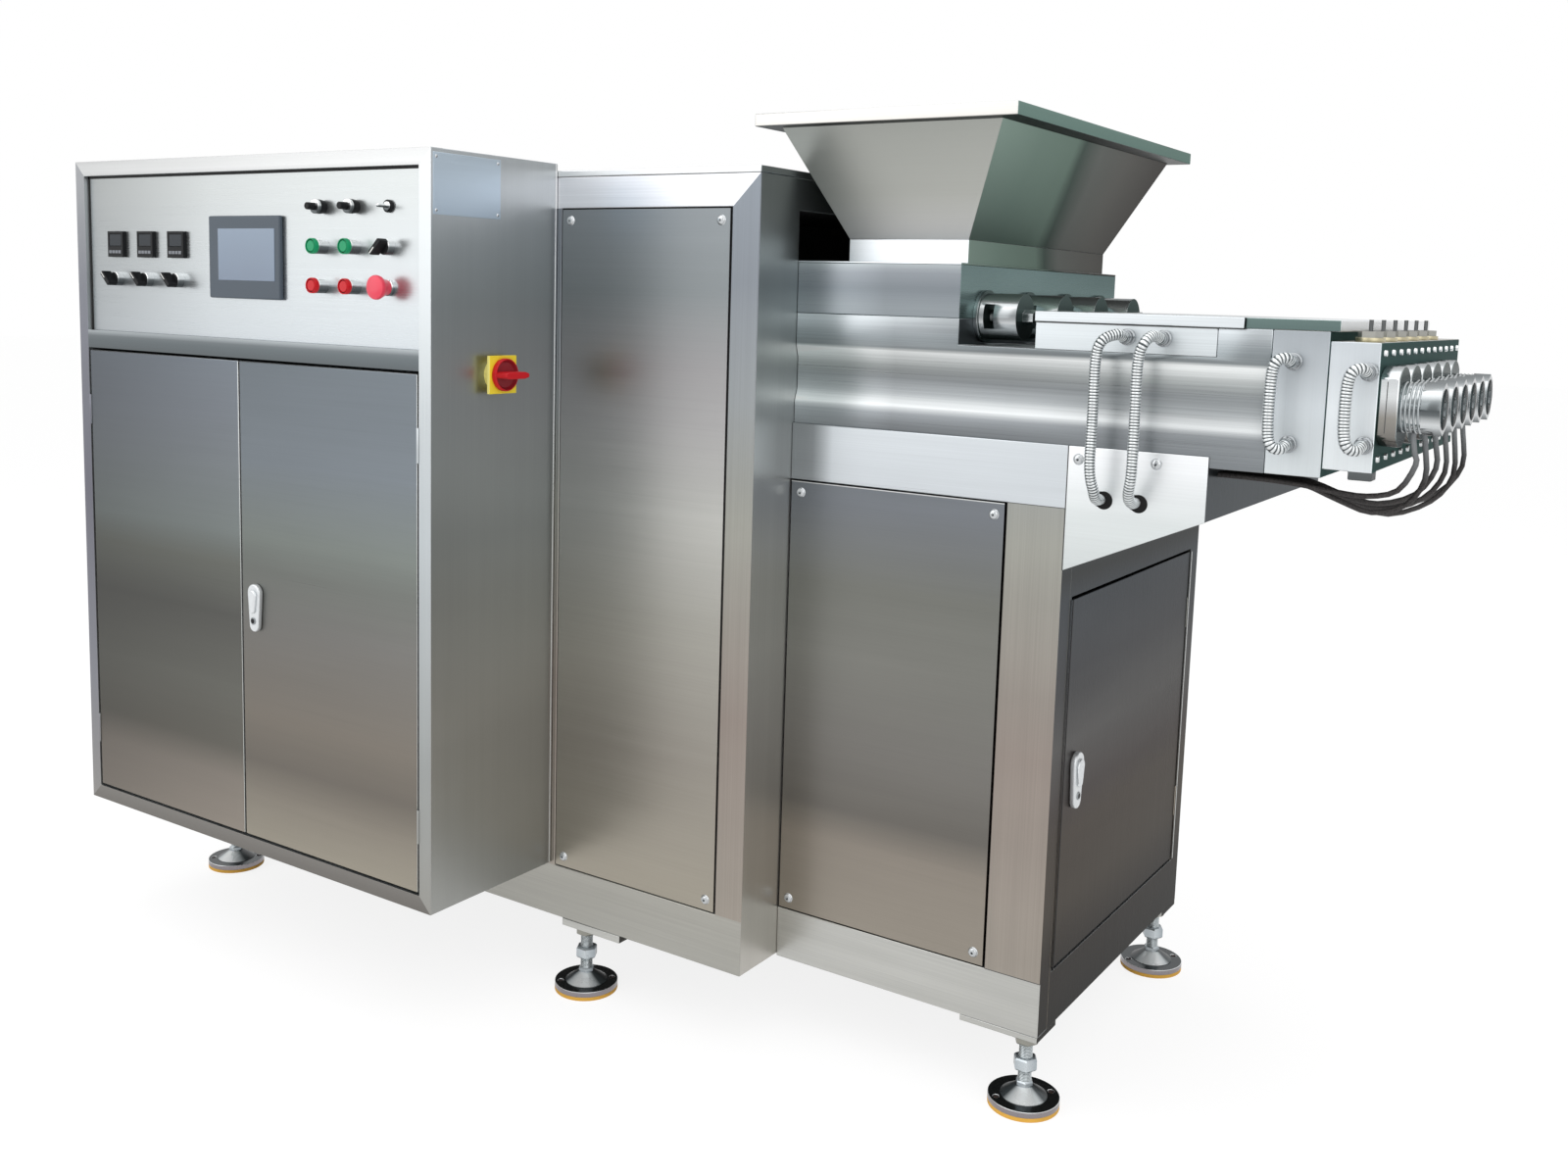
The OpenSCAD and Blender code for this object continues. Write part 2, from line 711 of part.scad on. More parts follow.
module foot_pads() place() color("silver")
    for (i = [0 : 2]) for (back = [false, true]) {
        under = i < 2 ? housing_bottom : base_bottom;
        left = i == 0 ? 0 : i == 1 ? foot_x[1] - left_foot[0] : base_right - foot_pad[0];
        edges = i < 2 ? [0, housing_depth] : [base_front, base_back];
        front = back ? edges[1] - foot_pad[1] : edges[0];
        block([left, front, pad_bottom], [left + foot_pad[0], front + foot_pad[1], under]);
    }

// two anchor holes through a foot's disc and rubber
module anchor_holes() {
    for (a = [45, 225]) rotate([0, 0, a]) translate([anchor_radius, 0, -1])
        cylinder(d = anchor_hole, h = foot_rubber + foot_disc + 2);
}

module foot_rubbers() place() color("orange")
    for (p = concat(front_feet, back_feet)) translate([p[0], p[1], 0]) difference() {
        cylinder(d = foot_diameter, h = foot_rubber);
        anchor_holes();
    }

module foot_stems() place() color("dimgray") {
    disc_top = foot_rubber + foot_disc;
    nut_z = disc_top + foot_cone[2] + foot_nut_gap;
    for (p = concat(front_feet, back_feet)) translate([p[0], p[1], 0]) {
        difference() {
            translate([0, 0, foot_rubber]) cylinder(d = foot_diameter, h = foot_disc);
            anchor_holes();
        }
        translate([0, 0, disc_top - eps]) cylinder(d1 = foot_cone[0], d2 = foot_cone[1], h = foot_cone[2]);
        translate([0, 0, disc_top]) cylinder(d = stem_diameter, h = pad_bottom - disc_top);
        translate([0, 0, nut_z]) cylinder(d = foot_nut[0], h = foot_nut[1], $fn = 6);
        translate([0, 0, pad_bottom - foot_nut[2]]) cylinder(d = foot_nut[0], h = foot_nut[2], $fn = 6);
    }
}

// Barrel and feed block

// the barrel's section, with a recess in its front and in its back
module barrel_section(top) {
    f = barrel_front;
    b = barrel_back;
    r = recess_depth;
    polygon([
        [f, barrel_bottom], [f, recess_z[0]], [f + r, recess_z[0] + recess_slant],
        [f + r, recess_z[1] - recess_slant], [f, recess_z[1]], [f, top],
        [b, top], [b, recess_z[1]], [b - r, recess_z[1] - recess_slant],
        [b - r, recess_z[0] + recess_slant], [b, recess_z[0]], [b, barrel_bottom]
    ]);
}

module barrel() place() color("silver") {
    along_x(housing_right, barrel_right) barrel_section(barrel_shelf);
    block([housing_right, barrel_front, barrel_shelf - eps], [feed_right, barrel_back, barrel_top]);
    block([box_x[1], barrel_front, barrel_shelf - eps], [barrel_right, barrel_back, barrel_top]);
}

// the passage through the hopper's neck
module throat(bottom, top) {
    block([neck_low[0] + hopper_wall, neck_low[1] + hopper_wall, bottom],
          [neck_high[0] - hopper_wall, neck_high[1] - hopper_wall, top]);
}

module feed_block() place() color("silver") difference() {
    block([housing_right, barrel_front, barrel_top], [feed_right, barrel_back, feed_top]);
    throat(barrel_top + throat_floor, feed_top + 1);
}

module hopper_neck() place() color("silver") difference() {
    union() {
        block([housing_right, barrel_front, feed_top], [feed_right, barrel_back, feed_top + neck_plate]);
        block([neck_low[0], neck_low[1], feed_top], [neck_high[0], neck_high[1], neck_top]);
    }
    throat(feed_top - 1, neck_top + 1);
}

// one corner of the funnel: sx and sy are -1 or 1, inner is the wall's inside, up is its upper end
function funnel_corner(sx, sy, inner, up) = let (h = up ? mouth_half : neck_half, w = inner ? hopper_wall : 0)
    [hopper_middle[0] + sx * (h[0] - w), hopper_middle[1] + sy * (h[1] - w), up ? rim_z[0] : neck_top];

// wall between two corners of the funnel
module funnel_wall(a, b) {
    polyhedron(
        [for (up = [false, true]) for (inner = [false, true]) for (s = [a, b])
            funnel_corner(s[0], s[1], inner, up)],
        [[0, 1, 3, 2], [4, 6, 7, 5], [0, 4, 5, 1], [2, 3, 7, 6], [0, 2, 6, 4], [1, 5, 7, 3]]
    );
}

module hopper_front_and_back() place() color("silver") {
    funnel_wall([-1, -1], [1, -1]);
    funnel_wall([1, 1], [-1, 1]);
}

module hopper_ends() place() color("silver") {
    funnel_wall([1, -1], [1, 1]);
    funnel_wall([-1, 1], [-1, -1]);
}

module hopper_rim() place() color("gainsboro") translate([hopper_middle[0], hopper_middle[1], 0]) {
    inner = mouth_half - [hopper_wall, hopper_wall];
    difference() {
        block([-rim_half[0], -rim_half[1], rim_z[0]], [rim_half[0], rim_half[1], rim_z[1]]);
        block([-inner[0], -inner[1], rim_z[0] - 1], [inner[0], inner[1], rim_z[1] + 1]);
    }
}

module roller_bearings() place() color("silver")
    for (y = roller_y) {
        slot_left = feed_right + roller_slot[0];
        housing_end = feed_right + roller_size[1];
        difference() {
            union() {
                rod_x(feed_right, housing_end, y, roller_z, roller_size[0]);
                rod_x(feed_right, feed_right + roller_collar[1], y, roller_z,
                      roller_size[0] + 2 * roller_collar[0]);
            }
            block([slot_left, y - roller_size[0], roller_z - roller_slot[2]],
                  [slot_left + roller_slot[1], y + roller_size[0], roller_z + roller_slot[2]]);
        }
        rod_x(feed_right + eps, housing_end - eps, y, roller_z, roller_shaft);
        rod_x(housing_end - eps, housing_end + roller_nut[1], y, roller_z, roller_nut[0], 6);
    }

module junction_box() place() color("white")
    block([box_x[0], barrel_front, barrel_shelf], [box_x[1], barrel_back, barrel_top]);

module junction_box_lid() place() color("white")
    block([box_x[0], barrel_front - lid_overhang[0], barrel_top], [lid_right, barrel_back, lid_top]);

module end_cover() place() color("darkseagreen")
    block([lid_right, barrel_front, barrel_top], [cover_right, barrel_back, lid_top]);

module end_block() place() color("lightgray")
    block([barrel_right, barrel_front, barrel_bottom], [end_right, barrel_back, barrel_top]);

module die_head() place() color("lightgray") {
    block([end_right, die_y[0], die_z[0]], [die_right, die_y[1], die_z[1]]);
    block([die_right - die_clamp[0], die_y[0], die_z[0] - die_clamp[2]],
          [die_right, die_y[0] + die_clamp[1], die_z[0] + eps]);
}

module nozzle_flanges() place() color("silver")
    for (y = nozzle_y) intersection() {
        rod_x(die_right, flange_end, y, nozzle_z, 2 * flange_radius);
        block([die_right - 1, y - flange_width / 2, nozzle_z - flange_radius - 1],
              [flange_end + 1, y + flange_width / 2, nozzle_z + flange_radius + 1]);
    }

module nozzle_tips() place() color("silver")
    for (y = nozzle_y) difference() {
        union() {
            rod_x(flange_end, thread_end, y, nozzle_z, thread_diameter);
            rod_x(thread_end - eps, nozzle_end, y, nozzle_z, nut_diameter, 8);
        }
        rod_x(die_right, nozzle_end + 1, y, nozzle_z, outlet_diameter);
    }

module needle_valves() place() color("goldenrod")
    for (y = nozzle_y) translate([die_right - valve_inset, y, die_z[1]]) {
        cylinder(d = valve_foot[0], h = valve_foot[1]);
        translate([0, 0, valve_foot[1] - eps])
            cylinder(d = valve_hexagon[0], h = valve_hexagon[1] + eps, $fn = 6);
        translate([0, 0, valve_foot[1] + valve_hexagon[1] - eps])
            cylinder(d = valve_pin[0], h = valve_pin[1]);
    }

// Conduits and heater leads

fitting_front = barrel_front - fitting_reach;

// ends of the four conduits on the front faces: x and z, or x, upper z and lower z
long_tops = [for (x = conduit_tops) [box_x[1] - x, barrel_top - conduit_drop]];
jumpers = [
    [barrel_right + end_jumper[0], barrel_top - end_jumper[1], barrel_bottom + end_jumper[2]],
    [die_right - die_jumper[0], die_z[1] - die_jumper[1], die_z[0] + die_jumper[2]]
];

// a conduit leaves its fitting straight, bends down, hangs and turns in again
function long_route(i) = let (
    top = long_tops[i], hole = long_holes[i], b = conduit_bend, hang = base_front - conduit_hang,
    run = hole[0] + conduit_shift[i], fall = top[1] - hole[1]
) concat([[top[0], fitting_front, top[1]]], smooth([
    [top[0], fitting_front - 0.15 * b, top[1]],
    [top[0] - 0.15 * b, fitting_front - 0.9 * b, top[1] - 0.05 * b],
    [run + 0.3 * b, hang, top[1] - 0.6 * b], [run, hang, top[1] - 1.8 * b],
    [run, hang, hole[1] + 0.5 * fall], [run, hang, hole[1] + 0.21 * fall],
    [hole[0] + 0.1 * b, hang + 0.5 * b, hole[1] + 0.7 * b],
    [hole[0], base_front - 0.8 * b, hole[1] + 0.1 * b],
    [hole[0], base_front + plate_thickness / 2, hole[1]]
], 3));

function jumper_route(j) = let (b = conduit_bend, front = fitting_front - b)
concat([[j[0], fitting_front, j[1]]], smooth([
    [j[0], fitting_front - 0.15 * b, j[1]],
    [j[0] - 0.15 * b, fitting_front - 0.7 * b, j[1] - 0.05 * b],
    [j[0] - 0.55 * b, front, j[1] - 0.45 * b], [j[0] - 0.75 * b, front, j[1] - 1.3 * b],
    [j[0] - 0.75 * b, front, j[2] + 1.3 * b], [j[0] - 0.55 * b, front, j[2] + 0.45 * b],
    [j[0] - 0.15 * b, fitting_front - 0.7 * b, j[2] + 0.05 * b],
    [j[0], fitting_front - 0.15 * b, j[2]]
], 3), [[j[0], fitting_front, j[2]]]);

module conduits() place() color("gainsboro") {
    for (i = [0, 1]) sweep(long_route(i), conduit_diameter);
    for (j = jumpers) sweep(jumper_route(j), conduit_diameter);
}

// gland on a front face at y
module fitting(x, z, y) {
    rod_y(y - fitting_collar[1], y, x, z, fitting_collar[0]);
    rod_y(fitting_front, y - fitting_collar[1] + eps, x, z, fitting_sleeve);
}

module conduit_fittings() place() color("silver") {
    for (t = long_tops) fitting(t[0], t[1], barrel_front);
    for (z = [jumpers[0][1], jumpers[0][2]]) fitting(jumpers[0][0], z, barrel_front);
    for (z = [jumpers[1][1], jumpers[1][2]]) rod_y(fitting_front, die_y[0], jumpers[1][0], z, fitting_sleeve);
}

// each lead leaves the bracket's end straight, passes below the end block, sags and rises to its nozzle
lead_first = 172;
lead_step = 12;
lead_exit_z = 1082;
lead_low_z = [1070, 1042, 1051, 1038, 1026, 1034];
lead_top_x = 2443;

function lead_route(i) = let (
    y = nozzle_y[i], e = lead_first + i * lead_step, low = lead_low_z[i], x = lead_top_x
) concat([[bracket_right, e, lead_exit_z]], smooth([
    [bracket_right + 6, e, lead_exit_z], [2240, e, lead_exit_z - 1], [2294, e, lead_exit_z - 4],
    [2345, e + (y - e) * 0.12, (lead_exit_z + low) / 2 - 4], [2388, e + (y - e) * 0.4, low],
    [2428, e + (y - e) * 0.8, low + 12], [x + 6, y, low + 50], [x + 3, y, 1138], [x, y, 1158]
], 3), [[x, y, nozzle_z - thread_diameter / 2]]);

module lead(i) place() color("saddlebrown") sweep(lead_route(i), lead_diameter);

module heater_lead_1() lead(0);
module heater_lead_2() lead(1);
module heater_lead_3() lead(2);
module heater_lead_4() lead(3);
module heater_lead_5() lead(4);
module heater_lead_6() lead(5);

// Doors and handles

// hollow-backed door leaf between two sides: skin at the front and a folded edge
module front_leaf(x0, x1) difference() {
    block([x0, cabinet_front, door_bottom], [x1, cabinet_front + door_thickness, door_top]);
    block([x0 + door_fold, cabinet_front + sheet, door_bottom + door_fold],
          [x1 - door_fold, cabinet_front + door_thickness + 1, door_top - door_fold]);
}

module left_door() place() color("lightgray")
    front_leaf(frame_width + door_gap, door_split - door_gap / 2);

module right_door() place() color("lightgray")
    front_leaf(door_split + door_gap / 2, cabinet_width - frame_width - door_gap);

module right_door_handle() place() color("dimgray") {
    x = door_split + door_gap / 2 + lock_from_edge;
    z = (door_bottom + door_top) / 2 - lock_drop;
    front = cabinet_front - lock_plate[2];
    block([x - lock_plate[0] / 2, front, z - lock_plate[1] / 2],
          [x + lock_plate[0] / 2, cabinet_front, z + lock_plate[1] / 2]);
    block([x - lock_grip[0] / 2, front - lock_grip[2], z - lock_grip[1] / 2],
          [x + lock_grip[0] / 2, front + eps, z + lock_grip[1] / 2]);
}

module side_door() place() color("lightgray") difference() {
    back = base_right - door_thickness;
    block([back, side_door_y[0], side_door_z[0]], [base_right, side_door_y[1], side_door_z[1]]);
    block([back - 1, side_door_y[0] + door_fold, side_door_z[0] + door_fold],
          [base_right - sheet, side_door_y[1] - door_fold, side_door_z[1] - door_fold]);
}

module side_door_handle() place() color("dimgray") {
    y = side_door_y[0] + side_lock_from_edge;
    z = (side_door_z[0] + side_door_z[1]) / 2;
    front = base_right + side_lock_plate[2];
    block([base_right, y - side_lock_plate[0] / 2, z - side_lock_plate[1] / 2],
          [front, y + side_lock_plate[0] / 2, z + side_lock_plate[1] / 2]);
    block([front - eps, y - side_lock_grip[0] / 2, z - side_lock_grip[1] / 2],
          [front + side_lock_grip[2], y + side_lock_grip[0] / 2, z + side_lock_grip[1] / 2]);
}

module isolator_handle() place() color("red") {
    y = isolator_middle[0];
    z = isolator_middle[1];
    x = plate_x + isolator_plate[1] + isolator_gap;
    hub = x + handle_disc[1];
    bar = hub + handle_hub[1];
    rod_x(x, hub, y, z, handle_disc[0]);
    rod_x(hub - eps, bar, y, z, handle_hub[0]);
    block([bar - eps, y - handle_bar[0] / 2, z - handle_bar[1] / 2],
          [bar + handle_bar[2], y + handle_bar[0] / 2, z + handle_bar[1] / 2]);
}

// Buttons

// what stays free behind a pressed button
press_gap = 2;

module push_button(x, z) place()
    rod_y(panel_front - button_length, panel_front - button_travel - press_gap, x, z, button_diameter);

module start_button_1() color("green") push_button(grid_x[0], grid_z[1]);
module start_button_2() color("green") push_button(grid_x[1], grid_z[1]);
module stop_button_1() color("red") push_button(grid_x[0], grid_z[2]);
module stop_button_2() color("red") push_button(grid_x[1], grid_z[2]);

module emergency_stop() place() color("crimson") {
    head_back = panel_front - stop_length + stop_head[1];
    rod_y(head_back - eps, panel_front - stop_travel - press_gap, grid_x[2], grid_z[2], button_diameter);
    rod_y(panel_front - stop_length, head_back, grid_x[2], grid_z[2], stop_head[0]);
}

// Nodes

control_front_frame();
control_side_walls();
control_roof_and_floor();
control_back_wall();
control_panel();
touch_screen();
temperature_controllers();
control_bezels();
selector_knobs();
speed_knobs();
isolator_base();
drive_housing();
drive_front_panel();
drive_roof();
base_front_frame();
base_front_panel();
base_back_wall();
base_floor_and_deck();
base_side_frame();
bracket_plate();
support_bracket();
foot_pads();
foot_rubbers();
foot_stems();
feed_block();
hopper_front_and_back();
hopper_ends();
hopper_neck();
hopper_rim();
roller_bearings();
barrel();
junction_box();
junction_box_lid();
end_cover();
end_block();
die_head();
nozzle_flanges();
nozzle_tips();
needle_valves();
conduits();
conduit_fittings();
heater_lead_1();
heater_lead_2();
heater_lead_3();
heater_lead_4();
heater_lead_5();
heater_lead_6();
left_door();
right_door();
right_door_handle();
side_door();
side_door_handle();
isolator_handle();
emergency_stop();
start_button_1();
start_button_2();
stop_button_1();
stop_button_2();
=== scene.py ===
# %% [markdown]
# # A candy extruder in stainless steel
#
# The machine is a row of steel boxes: a control cabinet, a tall drive housing beside it, and a base
# that carries the flat barrel with the hopper. A die head with a row of nozzles ends the line.
# It could be modelled from nothing, but the frame already holds solids with every size and place. So the
# lesson loads them first, and gives them rounded edges, seams, screws, threads, corrugated conduits and
# finishes, and a studio to stand in.

# %% Load the frame
import json
import math

import bmesh
import bpy
from mathutils import Matrix, Vector


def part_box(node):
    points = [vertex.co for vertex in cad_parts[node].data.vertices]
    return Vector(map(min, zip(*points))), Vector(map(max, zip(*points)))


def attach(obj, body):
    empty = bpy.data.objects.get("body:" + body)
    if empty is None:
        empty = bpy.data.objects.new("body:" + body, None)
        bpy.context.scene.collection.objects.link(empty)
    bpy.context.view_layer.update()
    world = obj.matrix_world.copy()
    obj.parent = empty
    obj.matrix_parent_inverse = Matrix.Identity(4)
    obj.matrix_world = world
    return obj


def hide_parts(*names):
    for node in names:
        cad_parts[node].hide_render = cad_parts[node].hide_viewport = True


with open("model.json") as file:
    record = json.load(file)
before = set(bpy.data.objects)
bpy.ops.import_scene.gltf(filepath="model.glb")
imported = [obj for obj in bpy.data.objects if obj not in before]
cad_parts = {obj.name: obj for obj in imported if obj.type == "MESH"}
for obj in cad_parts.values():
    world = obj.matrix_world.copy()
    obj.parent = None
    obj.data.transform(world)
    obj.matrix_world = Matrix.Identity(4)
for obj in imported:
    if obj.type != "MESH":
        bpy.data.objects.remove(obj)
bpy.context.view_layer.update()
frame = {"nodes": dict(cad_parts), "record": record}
scene = bpy.context.scene
NODES = frame["nodes"]
BODY = {node: body for body, nodes in frame["record"]["behaviour"]["bodies"].items() for node in nodes}
MM = 0.001
ORIGIN = (1227.5, 326.0)
SOLID_MATERIALS = len(bpy.data.materials)

# %% [markdown]
# ## Camera
#
# The photograph was taken at about chest height from the right, in front of the nozzles. A camera can be
# placed by eye, but then small errors show in every edge. Here the lens, the turn and the shift were worked
# out from the machine's straight edges. The picture seems to be cropped from a larger one, and the shift
# stands for the crop.

# %% Camera
IMAGE_WIDTH = 1600
FOCAL_PIXELS = 1492.8
SENSOR = 36.0
CROP_SHIFT = (0.0060, -0.0699)
CAMERA_PLACE = (1.5840, -2.3510, 1.3273)
CAMERA_RIGHT = (0.8352, 0.5492, 0.0291)
CAMERA_UP = (-0.0917, 0.0869, 0.9920)

right = Vector(CAMERA_RIGHT).normalized()
up = Vector(CAMERA_UP)
up = (up - up.dot(right) * right).normalized()
back = right.cross(up)
camera_data = bpy.data.cameras.new("photo_camera")
camera_data.sensor_width = SENSOR
camera_data.lens = FOCAL_PIXELS * SENSOR / IMAGE_WIDTH
camera_data.shift_x, camera_data.shift_y = CROP_SHIFT
camera = bpy.data.objects.new("photo_camera", camera_data)
turn = Matrix((right, up, back)).transposed().to_4x4()
camera.matrix_world = Matrix.Translation(CAMERA_PLACE) @ turn
scene.collection.objects.link(camera)
scene.camera = camera
scene.view_settings.view_transform = "Standard"
print("camera: lens", round(camera_data.lens, 2), "mm")

# %% [markdown]
# ## Shader helpers
#
# A finish is a small node tree. Its nodes could be wired one by one, which takes many lines and hides the
# sums. Value wraps a socket so that shader maths reads like arithmetic, and Graph.node makes every other
# node from its type, its settings and its inputs. The same two serve the geometry trees further down.


# %% Shader helpers
def linear(code):
    """A colour written as six hexadecimal digits, as linear red, green, blue and one."""
    channels = [int(code[i : i + 2], 16) / 255 for i in (0, 2, 4)]
    return (*(c / 12.92 if c <= 0.04045 else ((c + 0.055) / 1.055) ** 2.4 for c in channels), 1.0)


class Value:
    """One output socket of a node tree, with arithmetic."""

    def __init__(self, graph, socket):
        self.graph = graph
        self.socket = socket

    def __add__(self, other):
        return self.graph.maths("ADD", self, other)

    __radd__ = __add__

    def __mul__(self, other):
        return self.graph.maths("MULTIPLY", self, other)

    __rmul__ = __mul__

    def __sub__(self, other):
        return self.graph.maths("SUBTRACT", self, other)

    def __rsub__(self, other):
        return self.graph.maths("SUBTRACT", other, self)

    def __truediv__(self, other):
        return self.graph.maths("DIVIDE", self, other)

    def __rtruediv__(self, other):
        return self.graph.maths("DIVIDE", other, self)


class Graph:
    """A node tree that grows node by node."""

    def __init__(self, tree):
        self.tree = tree

    def node(self, kind, settings=None, inputs=None, output=0):
        """Any node from its type, its settings, such as a ramp's stops, and its sockets.

        Gives one output as a value, or the node itself where output is None.
        """
        made = self.tree.nodes.new(kind)
        for key, value in (settings or {}).items():
            if key == "stops":
                self.set_stops(made.color_ramp.elements, value)
            else:
                setattr(made, key, value)
        self.feed(made, inputs or {})
        return made if output is None else Value(self, made.outputs[output])

    def maths(self, operation, first, second=0.0):
        return self.node("ShaderNodeMath", {"operation": operation}, {0: first, 1: second})

    def set_stops(self, elements, stops):
        while len(elements) < len(stops):
            elements.new(0.5)
        for element, (place, code) in zip(elements, stops):
            element.position = place
            element.color = linear(code)

    def feed(self, made, inputs):
        """Sets or links sockets. A list holds several links to one socket."""
        for key, given in inputs.items():
            for value in given if isinstance(given, list) else [given]:
                if isinstance(value, Value):
                    self.tree.links.new(value.socket, made.inputs[key])
                else:
                    made.inputs[key].default_value = value


class Finish(Graph):
    """A material that is built up node by node around one principled shader."""

    def __init__(self, name):
        self.material = bpy.data.materials.new(name)
        self.material.use_nodes = True
        super().__init__(self.material.node_tree)
        self.shader = self.tree.nodes["Principled BSDF"]
        self.place = self.node("ShaderNodeTexCoord", output="Object")

    def set(self, **inputs):
        self.feed(self.shader, {key.replace("_", " "): value for key, value in inputs.items()})

    def axis(self, letter):
        """How far along an axis of the piece a point lies, in metres."""
        return self.node("ShaderNodeSeparateXYZ", {}, {0: self.place}, letter)

    def noise(self, stretch, detail=3.0, shift=(0.0, 0.0, 0.0)):
        """Noise from 0 to 1 with so many waves per metre along each axis."""
        sockets = {"Vector": self.place, "Scale": stretch, "Location": shift}
        moved = self.node("ShaderNodeMapping", {}, sockets)
        return self.node("ShaderNodeTexNoise", {}, {"Vector": moved, "Scale": 1.0, "Detail": detail})

    def ramp(self, factor, stops):
        """Colour by factor, from stops of place and colour code in rising order."""
        return self.node("ShaderNodeValToRGB", {"stops": stops}, {"Fac": factor}, "Color")

    def spread(self, letter, start, low, end, high):
        """A number that goes from low to high along an axis, between two places in the machine's mm."""
        shift = {"X": ORIGIN[0], "Y": ORIGIN[1], "Z": 0.0}[letter]
        sockets = {"From Min": (start - shift) * MM, "From Max": (end - shift) * MM}
        sockets.update({"Value": self.axis(letter), "To Min": low, "To Max": high})
        return self.node("ShaderNodeMapRange", {}, sockets)

    def mixed(self, factor, first, second):
        """One colour where factor is 0, the other where it is 1."""
        return self.node("ShaderNodeMix", {"data_type": "RGBA"}, {0: factor, 6: first, 7: second}, 2)

    def shaded(self, colour, brightness):
        """A colour made brighter or darker."""
        return self.node("ShaderNodeHueSaturation", {}, {"Color": colour, "Value": brightness})

    def bump(self, height, strength, distance):
        """A normal that shows height as fine relief."""
        return self.node("ShaderNodeBump", {}, {"Height": height, "Strength": strength, "Distance": distance})


print("shader helpers: Value, Graph, Finish")

# %% [markdown]
# ## Finishes
#
# Almost all of the machine is stainless sheet that was brushed in one direction at the mill. Brushed
# steel mirrors its surroundings as long soft bands: cool above, darker at eye level and warm further
# down. A modelled room could give those bands, but it would have to go along with the part.
# So those reflections are painted into the colour as tones set by height, which also paint faces lighter
# or darker as the light falls. Fine streaks run along the brushing, and faint blotches give random tone
# and, stretched into soft level bands, painted sheen.

# %% Finishes of steel
TOP_OF_TONES = 1.65
FINE_WAVES = 520.0
BAND_WAVES = 48.0
CLOUD_WAVES = (1.3, 1.3, 6.0)


def steel(name, tones, brush, roughness=0.34, streak=0.05, blotch_and_sheen=0.06, painted_light_slopes=(), metallic=0.92,
          edge=1.0):
    """Brushed steel with painted reflections. tones are heights in metres with colour codes, brush is the
    axis of the streaks.

    Each slope gives an axis and a brightness at two places along it: a painted gradient of light and
    shade. The blotches are random tone that also paints soft bands of sheen. edge dims what mirrors at a
    flat angle.
    """
    f = Finish(name)
    across = {"X": (0, 1, 1), "Y": (1, 0, 1), "Z": (1, 1, 0)}[brush]
    fine = f.noise(tuple(FINE_WAVES if a else 3.0 for a in across), 2.0)
    bands = f.noise(tuple(BAND_WAVES if a else 0.35 for a in across), 1.0, (3.1, 1.7, 0.4))
    clouds = f.noise(CLOUD_WAVES, 3.0, (0.7, 5.2, 2.6))
    streaks = streak * (fine - 0.5) * 2.4 + streak * (bands - 0.5) * 1.2
    brightness = 1.0 + streaks + blotch_and_sheen * (clouds - 0.5) * 2.0
    # Each slope paints a gradient of light and shade along an axis.
    for slope in painted_light_slopes:
        brightness = brightness * f.spread(*slope)
    # The ramp by height paints the reflected bands of the room into the colour.
    colour = f.ramp(f.axis("Z") * (1.0 / TOP_OF_TONES), [(z / TOP_OF_TONES, code) for z, code in tones])
    f.set(
        Base_Color=f.shaded(colour, brightness),
        Metallic=metallic,
        Roughness=roughness + 0.16 * (fine - 0.5) + 0.10 * (clouds - 0.5),
        Specular_Tint=(edge, edge, edge, 1.0),
        Normal=f.bump(fine, 0.03, 0.0002),
    )
    return f.material


# These tone tables are painted reflections of the room in bands by height, tuned to how bright each place
# looked; SIDE_TONES is the darker copy for faces that look to the side.
LEFT_DOOR_TONES = [
    (0.28, "7d766e"), (0.38, "746e67"), (0.44, "57554f"), (0.56, "5a5a55"), (0.70, "4f4f4c"),
    (0.80, "5f615c"), (0.86, "6d7372"), (1.0, "6a6f73"), (1.08, "686d73"), (1.18, "676d74"),
]
RIGHT_DOOR_TONES = [
    (0.28, "938d81"), (0.36, "857f75"), (0.43, "6c6760"), (0.52, "78726a"), (0.70, "747370"),
    (0.80, "727571"), (0.86, "7a807c"), (1.0, "757c82"), (1.18, "6a7177"),
]
FRONT_TONES = [
    (0.25, "948d83"), (0.38, "8b847b"), (0.44, "6c6964"), (0.56, "75736f"), (0.72, "7a7a75"),
    (0.84, "73746f"), (0.98, "72767b"), (1.15, "767c82"), (1.5, "808589"),
]
DRIVE_TONES = [
    (0.25, "a09a8e"), (0.5, "969189"), (0.75, "a3a19a"), (0.95, "b6b6b2"), (1.1, "a1a0a0"),
    (1.2, "919091"), (1.33, "797e80"), (1.47, "7b8083"),
]
SIDE_TONES = [
    (0.15, "3d3c3a"), (0.24, "45423f"), (0.34, "55504a"), (0.46, "5a544e"), (0.52, "575250"),
    (0.62, "656463"), (0.74, "555658"), (0.86, "565a5e"), (0.9, "4b4d4d"), (1.0, "565b5f"),
    (1.5, "656c6e"),
]
POST_TONES = [(0.2, "9d968d"), (0.6, "938982"), (0.95, "9a9a93"), (1.15, "8c9092"), (1.35, "767b81"),
              (1.53, "787e85")]
